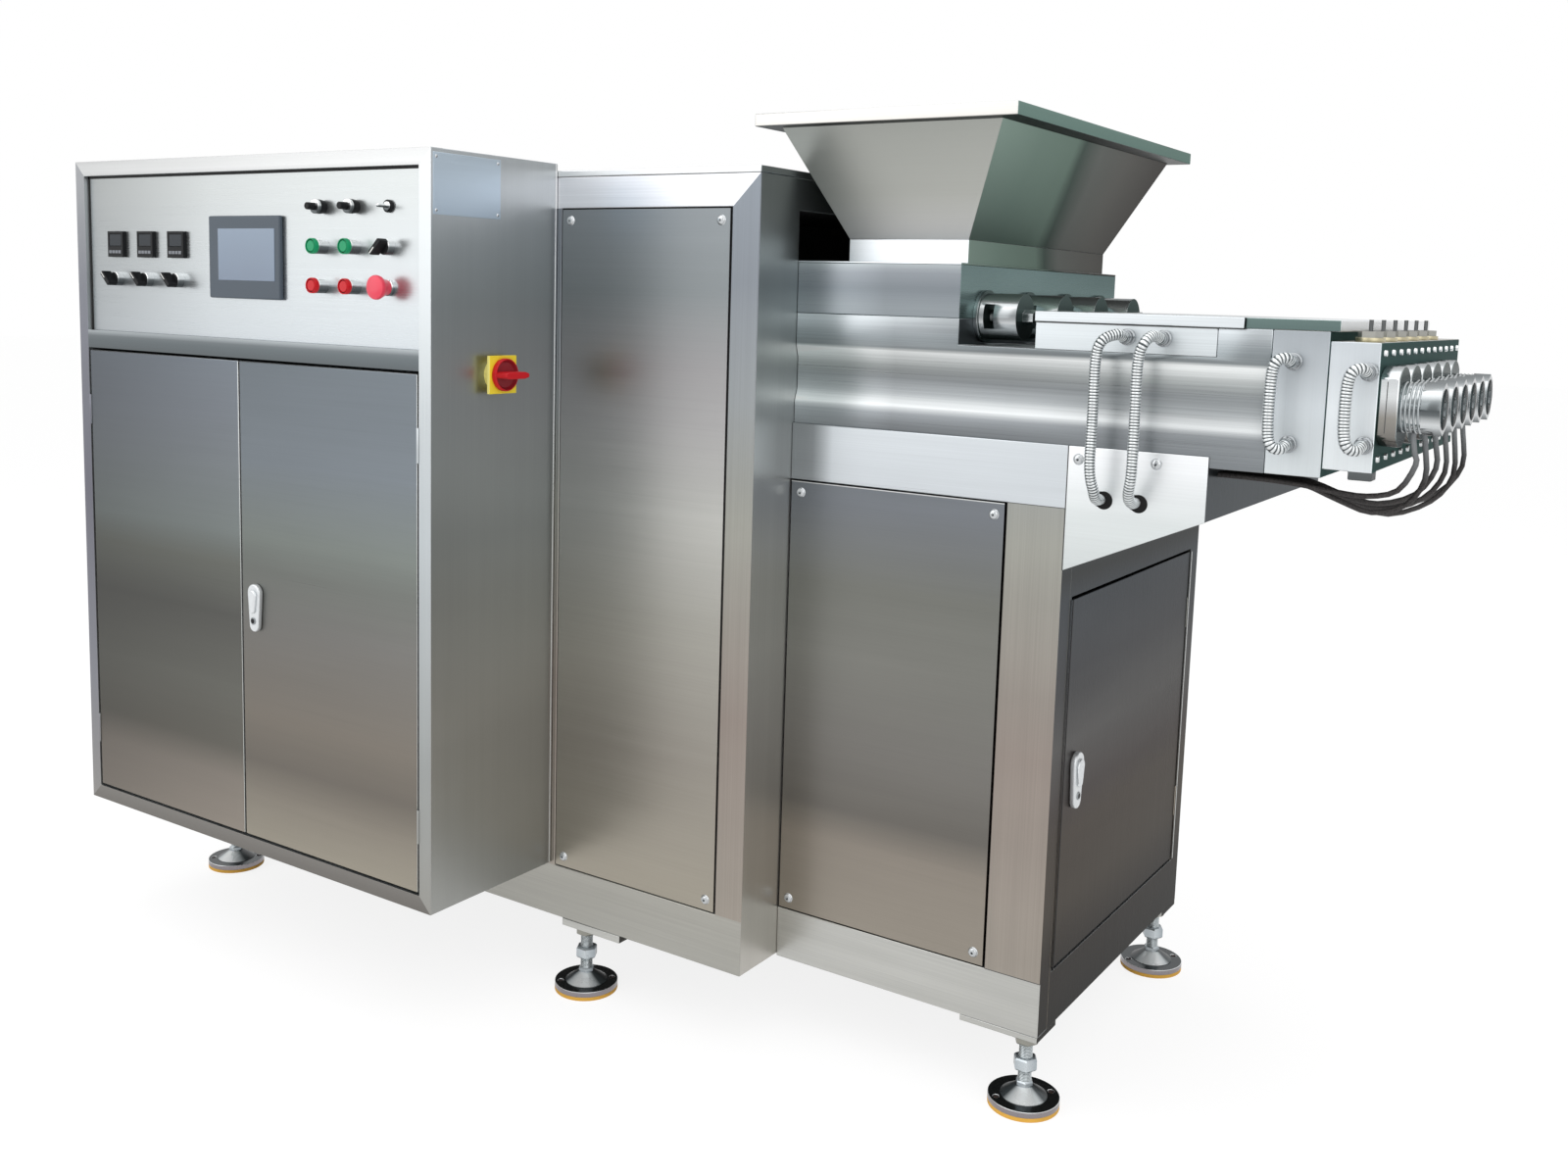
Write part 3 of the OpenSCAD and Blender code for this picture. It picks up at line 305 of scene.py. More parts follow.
# The doors also get painted slopes of light, darker towards their left.
left_door_steel = steel("left_door_steel", LEFT_DOOR_TONES, "X", blotch_and_sheen=0.10,
                        painted_light_slopes=[("X", 33, 0.78, 500, 1.24)])
right_door_steel = steel("right_door_steel", RIGHT_DOOR_TONES, "X", blotch_and_sheen=0.10,
                         painted_light_slopes=[("X", 505, 0.96, 970, 1.1)])
front_steel = steel("front_steel", FRONT_TONES, "X", blotch_and_sheen=0.10)
drive_steel = steel("drive_steel", DRIVE_TONES, "X", blotch_and_sheen=0.10)
post_steel = steel("post_steel", POST_TONES, "Z", streak=0.10, blotch_and_sheen=0.10)
strip_steel = steel("strip_steel", [(0.14, "a1a09a"), (0.3, "a6a49d"), (1.4, "c9cbce"), (1.54, "dadbdf")],
                    "X", streak=0.1, blotch_and_sheen=0.24)
rail_steel = steel("rail_steel", [(0.13, "b4b4b0"), (0.3, "bcbcb8")], "X", streak=0.12, blotch_and_sheen=0.28)
# side_steel, under_steel, cabinet_side, housing_side and top_steel are lit and shaded copies for faces that
# look to the side, down or up: painted shade underneath, painted reflection on top, and sides lighter or
# darker as the light falls.
side_steel = steel("side_steel", SIDE_TONES, "Z", 0.3, streak=0.04, blotch_and_sheen=0.26, edge=0.5)
under_steel = steel("under_steel", [(0.1, "4a4946"), (1.6, "3f4241")], "X", 0.45)
cabinet_side = steel("cabinet_side", [(0.25, "a3a4a1"), (0.6, "adaeaa"), (0.9, "949898"), (1.3, "a4a9aa"),
                     (1.5, "bcc1c4")], "Z", 0.36)
housing_side = steel("housing_side", [(0.2, "bdbab3"), (0.9, "d9dad8"), (1.2, "a0a6a5"), (1.35, "858c8c"),
                     (1.5, "777e7f")], "Z", streak=0.06)
top_steel = steel("top_steel", [(0.0, "a5a9ab"), (1.6, "b6babc")], "X", 0.38, 0.06, 0.12)
# The instrument panel gets a painted slope of shade, darker towards its left.
panel_steel = steel("panel_steel", [(1.22, "c9cfd3"), (1.5, "c3c7c7")], "X", 0.3, 0.03, 0.05,
                    [("X", 28, 0.62, 420, 0.86)])
# The top bar gets painted shade at its left end.
bar_steel = steel("bar_steel", [(0.9, "bdc2c6"), (1.1, "c0c5c9")], "X", 0.32, 0.06, 0.10,
                  [("X", 1490, 0.55, 1530, 1.06)])
plate_steel = steel("plate_steel", [(0.9, "c6cbcb"), (1.0, "cfd4d4"), (1.1, "edeff1")], "X", 0.36, 0.04,
                    0.14)
# A lighter steel: painted highlight on door edges, the roof's front and thin strips along edges.
edge_steel = steel("edge_steel", [(0.2, "c2c4c1"), (1.6, "d2d4d5")], "X", 0.3, streak=0.06, blotch_and_sheen=0.08)
rim_steel = steel("rim_steel", [(1.6, "bcb9b4"), (1.617, "c9c7c3"), (1.633, "d0cfcc")], "X", 0.34, 0.08,
                  0.12)
# The barrel's bright bands are painted highlights on the slanted faces of its recess, with painted shade
# between them; painted slopes make it lighter towards both ends.
BARREL_TONES = [
    (1.10, "6e7275"), (1.135, "777b7e"), (1.1465, "7f8386"), (1.149, "c6c9ca"), (1.158, "b7babb"),
    (1.175, "898d8f"), (1.20, "777b7d"), (1.22, "929696"), (1.238, "c1c4c4"), (1.2475, "d0d2d2"),
    (1.2495, "6f7476"), (1.266, "747a7d"), (1.285, "898e91"), (1.300, "a1a6a9"),
]
# The feed block's bands are painted reflections, with a painted slope of light towards its left end.
FEED_TONES = [(1.303, "797f83"), (1.318, "7a8084"), (1.345, "6c7277"), (1.375, "7b8085"), (1.387, "92989b")]
barrel_steel = steel("barrel_steel", BARREL_TONES, "X", 0.3, 0.2, 0.2,
                     [("X", 1447, 2.1, 1640, 1.0), ("X", 1850, 1.0, 2254, 1.45)])
feed_front = steel("feed_front", FEED_TONES, "X", 0.3, 0.09, 0.16, [("X", 1447, 1.9, 1620, 1.0)])
hopper_steel = steel("hopper_steel", [(1.4, "c2c2c3"), (1.5, "adaea9"), (1.62, "a0a29d")], "X", 0.36,
                     streak=0.03)
# The green of the feed block's sides and the rim's side is a painted reflection of green surroundings.
feed_side = steel("feed_side", [(1.28, "697d7b"), (1.34, "778a89"), (1.43, "657878")], "Y", 0.26, 0.03,
                  0.4, edge=0.4)
neck_front = steel("neck_front", [(1.38, "dce2e7"), (1.43, "e6eaed")], "X", 0.34, 0.05, 0.12)
rim_side = steel("rim_side", [(1.6, "728b84"), (1.64, "7f9890")], "Y", 0.36, edge=0.4)
cover_green = steel("cover_green", [(1.3, "5e706e"), (1.32, "677a77")], "X", 0.36)
cast_steel = steel("cast_steel", [(1.09, "cbd1d3"), (1.2, "c6ccd0"), (1.3, "a0a6ab")], "Z", 0.46, 0.05,
                   0.16)
die_front = steel("die_front", [(1.09, "d9dee0"), (1.2, "d9dee1"), (1.3, "bfc5ca")], "Z", 0.46, 0.05, 0.16)
clamp_grey = steel("clamp_grey", [(1.09, "55595a"), (1.12, "646869")], "X", 0.42)
box_metal = steel("box_metal", [(1.25, "bfc5c8"), (1.3, "d0d6d9"), (1.32, "d3d8db")], "X", 0.4, 0.12, 0.10)
# The green of the die's sides is a painted reflection of green surroundings.
die_side = steel("die_side", [(1.1, "637c79"), (1.3, "5a7371")], "Y", 0.38, blotch_and_sheen=0.10, edge=0.2)
chrome = steel("chrome", [(0.0, "8d9193"), (1.6, "979b9e")], "X", 0.16, streak=0.01, blotch_and_sheen=0.02)
NOZZLE_TONES = [
    (1.145, "3d4344"), (1.160, "565c5e"), (1.172, "b9bdbf"), (1.182, "d3d6d7"), (1.190, "6f7476"),
    (1.200, "4f5456"), (1.212, "8b9193"), (1.222, "d5d8d9"), (1.232, "9a9fa1"), (1.25, "5b6162"),
]
FLANGE_TONES = [(1.145, "555351"), (1.165, "85827d"), (1.187, "98958f"), (1.2, "b7b8b8"),
                (1.215, "e0e3e4"), (1.255, "c4c8ca")]
flange_chrome = steel("flange_chrome", FLANGE_TONES, "X", 0.2, 0.02, 0.03, edge=0.5)
nozzle_chrome = steel("nozzle_chrome", NOZZLE_TONES, "X", 0.18, 0.01, 0.03, edge=0.5)
# The ends of flanges and nozzles carry painted reflections by height.
flange_end = steel("flange_end", [(1.15, "7f898b"), (1.2, "c6cfd1"), (1.25, "929c9a")], "Y", 0.24, 0.01,
                   0.2, edge=0.3)
# A dark steel: painted shade and reflection for the hollow ends of the nozzles.
nozzle_end = steel("nozzle_end", [(1.15, "3f4647"), (1.2, "677072"), (1.25, "47504f")], "Y", 0.24, 0.01,
                   0.2, edge=0.2)
ROLLER_TONES = [
    (1.265, "4c5253"), (1.28, "8b9092"), (1.293, "d3d6d7"), (1.306, "7b8082"), (1.322, "c4c8c9"),
    (1.335, "8b9091"), (1.345, "5b6162"),
]
roller_chrome = steel("roller_chrome", ROLLER_TONES, "X", 0.2, streak=0.02)
# The rollers' ends: painted green reflection.
roller_end = steel("roller_end", [(1.26, "4c5655"), (1.35, "5d6967")], "Y", 0.3, 0.02, 0.2, edge=0.3)
cover_top = steel("cover_top", [(1.3, "cdd1d3"), (1.33, "d6dadc")], "X", 0.38, 0.06, 0.12)
# The foot discs: dark_chrome on top, disc_side on the side and disc_edge, lighter, a painted highlight on the
# edge between them.
dark_chrome = steel("dark_chrome", [(0.0, "2f3335"), (0.06, "4a4f52")], "X", 0.2, streak=0.02, blotch_and_sheen=0.2)
disc_side = steel("disc_side", [(0.0, "8d878b"), (0.06, "96918f")], "X", 0.3, streak=0.02)
disc_edge = steel("disc_edge", [(0.0, "dfe3e4"), (0.06, "e6e9ea")], "X", 0.3, streak=0.01)
zinc = steel("zinc", [(0.0, "95948c"), (1.6, "a9a9a4")], "Z", 0.4, streak=0.03, blotch_and_sheen=0.1)
pin_steel = steel("pin_steel", [(1.2, "4b4d4e"), (1.4, "5a5c5d")], "Z", 0.3)
screw_steel = steel("screw_steel", [(0.0, "b9bcbe"), (1.6, "c3c6c8")], "X", 0.24, 0.01, 0.02)
bright_head = steel("bright_head", [(1.1, "dfe2e3"), (1.3, "e8eaeb")], "Y", 0.3)
brass = steel("brass", [(1.28, "b5ab8a"), (1.3, "c4bc9f")], "X", 0.36, blotch_and_sheen=0.2)
lock_metal = steel("lock_metal", [(0.4, "d4d7d9"), (1.0, "dee1e3")], "Z", 0.34, 0.02, 0.03, metallic=0.6)
# Each member of the front frame has its own painted reflection by height, the left post darker and the right
# post lighter as the light falls.
FRAME_MEMBERS = {
    "left_post": ("Z", [(0.24, "8f8d8b"), (0.5, "82838a"), (0.9, "70707a"), (1.3, "7d7f87"),
                        (1.54, "9b9da0")]),
    "right_post": ("Z", [(0.24, "9a9994"), (0.5, "9c9f9e"), (0.9, "bdc3c6"), (1.3, "c2c7c9"),
                         (1.54, "c6c9ca")]),
    "bottom_rail": ("X", [(0.24, "6f6c68"), (0.28, "807d79")]),
    "mid_rail": ("X", [(1.18, "565b5e"), (1.205, "636a6d"), (1.214, "6f7578"), (1.222, "a9afb2")]),
    "top_rail": ("X", [(1.52, "a9abac"), (1.532, "c6c7c7"), (1.554, "c0c1c1")]),
}
frame_steels = [steel("frame_" + name, tones, brush, 0.32) for name, (brush, tones) in FRAME_MEMBERS.items()]


def hopper_end_steel():
    """The hopper's end: painted reflections in bands, green in front, then a dark band, then brown and grey,
    lighter towards the top.
    """
    f = Finish("hopper_end")
    clouds = f.noise((2.0, 5.0, 3.0), 3.0, (0.4, 1.1, 0.9))
    reflection_bands = f.axis("Y") + 0.18 * f.axis("Z") + 0.06 * (clouds - 0.5)
    stops = [
        (0.05, "83958c"), (0.22, "71837a"), (0.37, "6a7b72"), (0.41, "4c5752"), (0.48, "676a67"),
        (0.62, "636360"), (0.80, "555351"),
    ]
    colour = f.ramp(reflection_bands, stops)
    f.set(
        Base_Color=f.shaded(colour, f.spread("Z", 1430, 0.98, 1600, 1.26) + 0.3 * (clouds - 0.5)),
        Metallic=0.92,
        Roughness=0.34 + 0.1 * (clouds - 0.5),
        Specular_Tint=(0.4, 0.4, 0.4, 1.0),
    )
    return f.material


hopper_end = hopper_end_steel()


def banded(name, attribute, stops, metallic=0.9):
    """Bright metal whose tone follows an attribute of the piece: along rib, painted shade in the grooves and
    highlight on the crests of a wound tube; along rise, painted reflection, dark below and bright above.
    """
    f = Finish(name)
    band = f.node("ShaderNodeAttribute", {"attribute_name": attribute}, {}, "Fac")
    wear = f.noise((30.0, 30.0, 30.0), 2.0)
    colour = f.ramp(band, stops)
    f.set(
        Base_Color=f.shaded(colour, 1.0 + 0.2 * (wear - 0.5)),
        Metallic=metallic,
        Roughness=0.28 + 0.1 * (wear - 0.5),
    )
    return f.material


# The banded finishes below paint light by form: shade in grooves, highlight on crests, and reflection bands
# that are bright on the side that faces up, or on upright parts the front, and dark opposite.
conduit_metal = banded("conduit_metal", "rib", [(0.25, "42484a"), (0.75, "d8dcdd")])
thread_chrome = banded("thread_chrome", "rib", [(0.25, "2f3435"), (0.75, "a9aeb0")])
thread_zinc = banded("thread_zinc", "rib", [(0.25, "70787b"), (0.75, "ccd2d4")])
cone_chrome = banded("cone_chrome", "rise", [(0.4, "23282b"), (0.74, "474e51"), (0.86, "cbd1d3"),
                     (0.97, "eef1f1")], 0.3)
nut_zinc = banded("nut_zinc", "rise", [(0.25, "596166"), (0.7, "a7b0b6"), (1.0, "cdd4d8")], 0.6)
bezel_chrome = banded("bezel_chrome", "rise", [(0.2, "54585a"), (0.48, "7a7e80"), (0.62, "e6e8e9"),
                      (0.9, "f6f7f7")])
print("metal finishes:", len(bpy.data.materials) - SOLID_MATERIALS)

# %% [markdown]
# The small parts are moulded: black and coloured plastic with a fine grain, a soft rubber ring under
# each foot, and woven sleeves on the heater leads. A flat colour would look like paint on a screen, so
# each has a faint mottle and a bump of well under a tenth of a millimetre, made from noise.

# %% Finishes of plastic and rubber
def moulded(name, code, roughness, grain=900.0, mottle=0.06, coat=0.0, gloss=0.5):
    """Plastic or rubber of one colour with a fine grain and a faint mottle."""
    f = Finish(name)
    fine = f.noise((grain, grain, grain), 2.0)
    clouds = f.noise((18.0, 18.0, 18.0), 2.0, (1.3, 0.2, 4.4))
    f.set(
        Base_Color=f.shaded(linear(code), 1.0 + mottle * (clouds - 0.5) * 2.0),
        Roughness=roughness + 0.12 * (clouds - 0.5),
        Coat_Weight=coat,
        Specular_IOR_Level=gloss,
        Normal=f.bump(fine, 0.08, 0.0003),
    )
    return f.material


black_plastic = moulded("black_plastic", "17181a", 0.4, gloss=0.15)
# A near-black for painted shade: the shadow strip round the instrument panel, the groove floors of the button
# caps and the strip by the side door.
seam_dark = moulded("seam_dark", "141414", 0.8)
joint_grey = moulded("joint_grey", "4b4c4b", 0.6)
# Black for painted shade inside the drive housing's opening, in the joint behind its panel and in the conduit
# holes.
bore_black = moulded("bore_black", "050505", 0.9)
slate_plastic = moulded("slate_plastic", "3f4a55", 0.42)
key_plastic = moulded("key_plastic", "7d8086", 0.45, gloss=0.2)
yellow_plastic = moulded("yellow_plastic", "f2da34", 0.42)
# A lighter yellow: painted light on the front and back faces of the isolator base.
yellow_edge = moulded("yellow_edge", "fdf08a", 0.42)
red_plastic = moulded("red_plastic", "c4141f", 0.35, coat=0.1, gloss=0.25)
stop_red = moulded("stop_red", "e0334d", 0.35, coat=0.3)
# A darker red: painted shade in the isolator handle's dish.
dish_red = moulded("dish_red", "8c1a26", 0.45)
green_plastic = moulded("green_plastic", "0f9361", 0.35, coat=0.1, gloss=0.25)
orange_rubber = moulded("orange_rubber", "e3ae45", 0.62, mottle=0.12)
white_mark = moulded("white_mark", "e8e8e4", 0.5)
plate_metal = steel("plate_metal", [(1.4, "b9c8d6"), (1.6, "c6d4e0")], "Y", 0.36, streak=0.02, blotch_and_sheen=0.03)


def woven(name, code, light, highlight_above=None):
    """A braided sleeve in a fine check of two tones. The last argument gives two heights and a lighter colour
    above them, a painted highlight on the leads' upper ends.
    """
    f = Finish(name)
    weave = f.noise((420.0, 420.0, 420.0), 1.0)
    ageing = f.noise((12.0, 12.0, 12.0), 2.0, (2.0, 0.0, 1.0))
    colour = f.ramp(weave, [(0.35, code), (0.68, light)])
    if highlight_above:
        colour = f.mixed(f.spread("Z", highlight_above[0], 0.0, highlight_above[1], 1.0), colour, linear(highlight_above[2]))
    f.set(
        Base_Color=f.shaded(colour, 1.0 + 0.2 * (ageing - 0.5)),
        Roughness=0.72 + 0.1 * (weave - 0.5),
        Normal=f.bump(weave, 0.35, 0.0006),
    )
    return f.material


# The leads turn lighter above the first height: a painted highlight on their upper ends.
lead_sleeve = woven("lead_sleeve", "1c1a1a", "403c3b", (1085, 1150, "85888a"))


def glass_by_height(name, low, high, coat=0.5, gloss=0.5):
    """Glass with a colour that runs from one tone at 1.30 m to another at 1.45 m, under a clear hard coat."""
    f = Finish(name)
    clouds = f.noise((9.0, 9.0, 9.0), 2.0)
    stops = [(z / TOP_OF_TONES, code) for z, code in ((1.30, low), (1.45, high))]
    shade = f.ramp(f.axis("Z") * (1.0 / TOP_OF_TONES), stops)
    f.set(
        Base_Color=f.shaded(shade, 0.94 + 0.12 * clouds),
        Roughness=0.22 + 0.06 * (clouds - 0.5),
        Coat_Weight=coat,
        Specular_IOR_Level=gloss,
    )
    return f.material


screen_glass = glass_by_height("screen_glass", "5c6d84", "77899d")
dark_glass = glass_by_height("dark_glass", "1d2126", "2c3238", 0.1, 0.2)
print("finishes:", len(bpy.data.materials) - SOLID_MATERIALS)

# %% [markdown]
# ## Piece helpers
#
# A sheet-metal edge is never sharp: it is folded or ground, and it catches a thin line of light. A Bevel
# modifier could round it, but the faces of the frame's solids are loose triangles. So dress() copies a
# solid, merges its doubled corners, rounds its edges in mesh code and gives each face a finish by the way
# that it faces: to the front, to the side, up or down. These finishes are lit and shaded copies of the
# steel, so they paint light and shade by facing. Turned parts are spun from a profile.

# %% Piece helpers
CURVE_LIMIT = math.radians(30)
FLAT_LIMIT = math.radians(0.5)
# The direction that painted highlights on upright turned parts face.
FRONT_RIGHT = Vector((0.4, -0.92, 0))
SHEET_EDGE = 0.6 * MM
FOLD_EDGE = 1.2 * MM
BLOCK_EDGE = 1.5 * MM
DOOR_EDGE = 1.8 * MM
LINE_EDGE = 0.1 * MM
LINE_RISE = 0.3 * MM
LINE_DEPTH = 0.5 * MM


def add_piece(name, mesh, finishes, body, replaced=()):
    """Links a mesh as a piece that rides on a body and the nodes that it replaces."""
    for finish in finishes:
        mesh.materials.append(finish)
    piece = bpy.data.objects.new(name, mesh)
    scene.collection.objects.link(piece)
    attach(piece, body)
    if replaced:
        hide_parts(*replaced)
    return piece


def solid_piece(name, bm, finishes, body, replaced=(), sharp=None):
    """Makes a piece of bm. Edges that turn by more than sharp degrees are shaded as edges."""
    mesh = bpy.data.meshes.new(name)
    bm.to_mesh(mesh)
    bm.free()
    if sharp:
        mesh.set_sharp_from_angle(angle=math.radians(sharp))
    return add_piece(name, mesh, finishes, body, replaced)


def rounded(bm, radius, segments=2):
    """Rounds the sharp edges of bm, and shades only round faces smooth."""
    bmesh.ops.remove_doubles(bm, verts=bm.verts, dist=1e-6)
    bmesh.ops.dissolve_limit(bm, angle_limit=FLAT_LIMIT, verts=bm.verts, edges=bm.edges)
    bmesh.ops.recalc_face_normals(bm, faces=bm.faces)
    joined = [edge for edge in bm.edges if len(edge.link_faces) == 2]
    turns = {edge: edge.calc_face_angle(0.0) for edge in joined}
    curved = {face for edge in joined if FLAT_LIMIT < turns[edge] < CURVE_LIMIT for face in edge.link_faces}
    for face in bm.faces:
        face.smooth = face in curved
    sharp = [edge for edge in joined if turns[edge] >= CURVE_LIMIT]
    if radius and sharp:
        made = bmesh.ops.bevel(
            bm, geom=sharp, offset=radius, offset_type="OFFSET", segments=segments, profile=0.5,
            affect="EDGES", clamp_overlap=True,
        )
        for face in made["faces"]:
            face.smooth = True


def by_facing(face):
    """0 for the front and the back, 1 for the left and right sides, 2 for the top, 3 for the underside: the
    places of the lit and shaded copies, painted light and shade by facing.
    """
    normal = face.normal
    if abs(normal.z) > 0.75:
        return 2 if normal.z > 0 else 3
    return 1 if abs(normal.x) > 0.75 else 0


def split(bm, cuts):
    """Cuts the faces of bm along planes, so that members of a welded frame can differ in finish."""
    for place, normal in cuts:
        everything = list(bm.verts) + list(bm.edges) + list(bm.faces)
        bmesh.ops.bisect_plane(bm, geom=everything, plane_co=place, plane_no=normal, dist=1e-6)


def dress(node, radius, front, side=None, top=None, choose=by_facing, segments=2, under=None, more=(),
          cuts=(), crop=None):
    """A rounded copy of a node with its finishes, in its place. Above the height crop it is left out."""
    bm = bmesh.new()
    bm.from_mesh(NODES[node].data)
    rounded(bm, radius, segments)
    split(bm, cuts)
    if crop:
        above = [face for face in bm.faces if face.calc_center_median().z > crop]
        bmesh.ops.delete(bm, geom=above, context="FACES")
        bmesh.ops.holes_fill(bm, edges=[edge for edge in bm.edges if edge.is_boundary])
    for face in bm.faces:
        face.material_index = choose(face)
    finishes = [front, side or front, top or side or front, under or side or front, *more]
    return solid_piece("dressed_" + node, bm, finishes, BODY[node], [node])


def block_into(bm, low, high):
    """Adds a box between two corners to bm."""
    made = bmesh.ops.create_cube(bm, size=1.0)["verts"]
    low, high = Vector(low), Vector(high)
    size = high - low
    for corner in made:
        corner.co = Vector(low[i] + (corner.co[i] + 0.5) * size[i] for i in range(3))


def boxes(name, pairs, radius, finish, body, replaced=()):
    """Rounded boxes between pairs of corners, as one piece."""
    bm = bmesh.new()
    for low, high in pairs:
        block_into(bm, low, high)
    rounded(bm, radius)
    return solid_piece(name, bm, [finish], body, replaced)


def extrude_into(bm, near, far):
    """Adds the solid between two outlines with the same number of corners."""
    rings = [[bm.verts.new(corner) for corner in outline] for outline in (near, far)]
    for ring in rings:
        bm.faces.new(ring)
    for i in range(len(near)):
        k = (i + 1) % len(near)
        bm.faces.new([rings[0][i], rings[0][k], rings[1][k], rings[1][i]])


def lathe_into(bm, profile, origin, axis, steps=48, index=0):
    """Turns a profile of (radius, distance along the axis) about an axis through origin.

    Each point keeps as rise how far it looks up, from 0 below to 1 above, or to the front where axis is
    upright. The banded finishes paint reflection and highlight from it.
    """
    rise = bm.verts.layers.float.get("rise") or bm.verts.layers.float.new("rise")
    spin = Vector((0, 0, 1)).rotation_difference(Vector(axis)).to_matrix()
    look = FRONT_RIGHT if abs(axis[2]) > 0.9 else Vector((0, 0, 1))
    rings = []
    for radius, along in profile:
        ring = []
        for k in range(steps if radius > 1e-7 else 1):
            angle = 2 * math.pi * k / steps
            outwards = Vector((math.cos(angle), math.sin(angle), 0))
            corner = bm.verts.new(Vector(origin) + spin @ (radius * outwards + Vector((0, 0, along))))
            corner[rise] = 0.5 + 0.5 * (spin @ outwards).dot(look)
            ring.append(corner)
        rings.append(ring)
    for lower, upper in zip(rings, rings[1:]):
        for k in range(steps):
            corners = [lower[k % len(lower)], lower[(k + 1) % len(lower)]]
            corners += [upper[(k + 1) % len(upper)], upper[k % len(upper)]]
            face = bm.faces.new(list(dict.fromkeys(corners)))
            face.smooth = True
            face.material_index = index


def lathes(name, turned, finishes, body, replaced=(), sharp=35, steps=48):
    """One piece from a list of (profile, origin, axis, index of finish)."""
    bm = bmesh.new()
    for profile, origin, axis, index in turned:
        lathe_into(bm, profile, origin, axis, steps, index)
    bmesh.ops.remove_doubles(bm, verts=bm.verts, dist=1e-6)
    bmesh.ops.recalc_face_normals(bm, faces=bm.faces)
    return solid_piece(name, bm, finishes, body, replaced, sharp)


def sized(profile):
    """A profile in millimetres, in metres."""
    return [(radius * MM, along * MM) for radius, along in profile]


def line_of(name, routes):
    """A curve object's data with one straight-sided line for each route of points."""
    curve = bpy.data.curves.new(name, "CURVE")
    curve.dimensions = "3D"
    for route in routes:
        spline = curve.splines.new("POLY")
        spline.points.add(len(route) - 1)
        for point, place in zip(spline.points, route):
            point.co = (*place, 1.0)
    return curve


print("piece helpers: dress, boxes, lathes")

# %% [markdown]
# ## Heater leads
#
# Six thin leads feed the heaters in the nozzles. They leave the end of the bracket, pass below the end
# block, sag and rise to the nozzles, in sleeves of woven glass fibre. A simulated rope would find its own
# sag, but these keep the shape that the photograph shows, so each is a curve with a round bevel through
# the points of the frame's solids.

# %% Heater leads
LEAD_DIAMETER = 8 * MM
LEAD_COUNT = 6
LEAD_LOW = (1070, 1042, 1051, 1038, 1026, 1034)
LEAD_EXIT = 1082
LEAD_FIRST = 172
LEAD_PITCH = 12
LEAD_TOP_X = 2443
BRACKET_RIGHT = 2175
NOZZLE_FIRST = 170
NOZZLE_PITCH = 86
NOZZLE_LOW = 1165


def smooth_route(points, steps):
    """The same smooth curve through points as in the frame's source."""
    last = len(points) - 1
    made = []
    for i in range(last):
        a, b, c, d = (Vector(points[min(max(k, 0), last)]) for k in (i - 1, i, i + 1, i + 2))
        for k in range(steps):
            t = k / steps
            cubic = 3 * b - a - 3 * c + d
            made.append(0.5 * (2 * b + (c - a) * t + (2 * a - 5 * b + 4 * c - d) * t * t + cubic * t**3))
    return made + [Vector(points[last])]


def row_frame(points):
    """Points in the machine's millimetres, in metres from the frame's origin."""
    return [Vector((p[0] - ORIGIN[0], p[1] - ORIGIN[1], p[2])) * MM for p in points]


def lead_route(i):
    """The way of one lead, from the bracket's end to its nozzle, in the machine's millimetres."""
    y = NOZZLE_FIRST + i * NOZZLE_PITCH
    e = LEAD_FIRST + LEAD_PITCH * i
    low = LEAD_LOW[i]
    x = LEAD_TOP_X
    middle = [
        (BRACKET_RIGHT + 6, e, LEAD_EXIT), (2240, e, LEAD_EXIT - 1), (2294, e, LEAD_EXIT - 4),
        (2345, e + (y - e) * 0.12, (LEAD_EXIT + low) / 2 - 4), (2388, e + (y - e) * 0.4, low),
        (2428, e + (y - e) * 0.8, low + 12), (x + 6, y, low + 50), (x + 3, y, 1138), (x, y, 1158),
    ]
    return row_frame([(BRACKET_RIGHT, e, LEAD_EXIT)] + smooth_route(middle, 3) + [(x, y, NOZZLE_LOW)])


def path_length(points):
    return sum((b - a).length for a, b in zip(points, points[1:]))


lead_lengths = []
for i in range(LEAD_COUNT):
    route = lead_route(i)
    curve = line_of(f"heater_lead_{i + 1}", [route])
    curve.bevel_depth = LEAD_DIAMETER / 2
    curve.bevel_resolution = 4
    curve.use_fill_caps = True
    curve.materials.append(lead_sleeve)
    lead = bpy.data.objects.new(f"lead_{i + 1}", curve)
    scene.collection.objects.link(lead)
    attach(lead, "machine")
    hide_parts(f"heater_lead_{i + 1}")
    length = path_length(route)
    lead_lengths.append(round(length, 3))
print("heater leads, metres:", lead_lengths)

# %% [markdown]
# ## Repeated parts
#
# Screws, bolts, threads and corrugated tubes repeat one small form. Each comes from a Geometry Nodes
# tree that is built here with named inputs. A ribbed tube is a line whose radius rises and falls along
# its length. Fasteners are one small solid that is placed on every point of a list. Array modifiers could
# repeat a form too, but only along a line or a curve.

# %% Geometry node trees
STEPS_PER_RIB = 8.0
TUBE_SIDES = 20
NECK_SHARE = 0.86
RECESS_DEPTH = 1.1


def new_tree(name, inputs):
    """A tree with named inputs. Gives the graph and its inputs as values."""
    tree = bpy.data.node_groups.new(name, "GeometryNodeTree")
    for label, kind in [("Geometry", "Geometry"), *inputs, ("Material", "Material")]:
        tree.interface.new_socket(label, in_out="INPUT", socket_type="NodeSocket" + kind)
    tree.interface.new_socket("Geometry", in_out="OUTPUT", socket_type="NodeSocketGeometry")
    graph = Graph(tree)
    entry = graph.node("NodeGroupInput", output=None)
    return graph, {socket.name: Value(graph, socket) for socket in entry.outputs if socket.name}


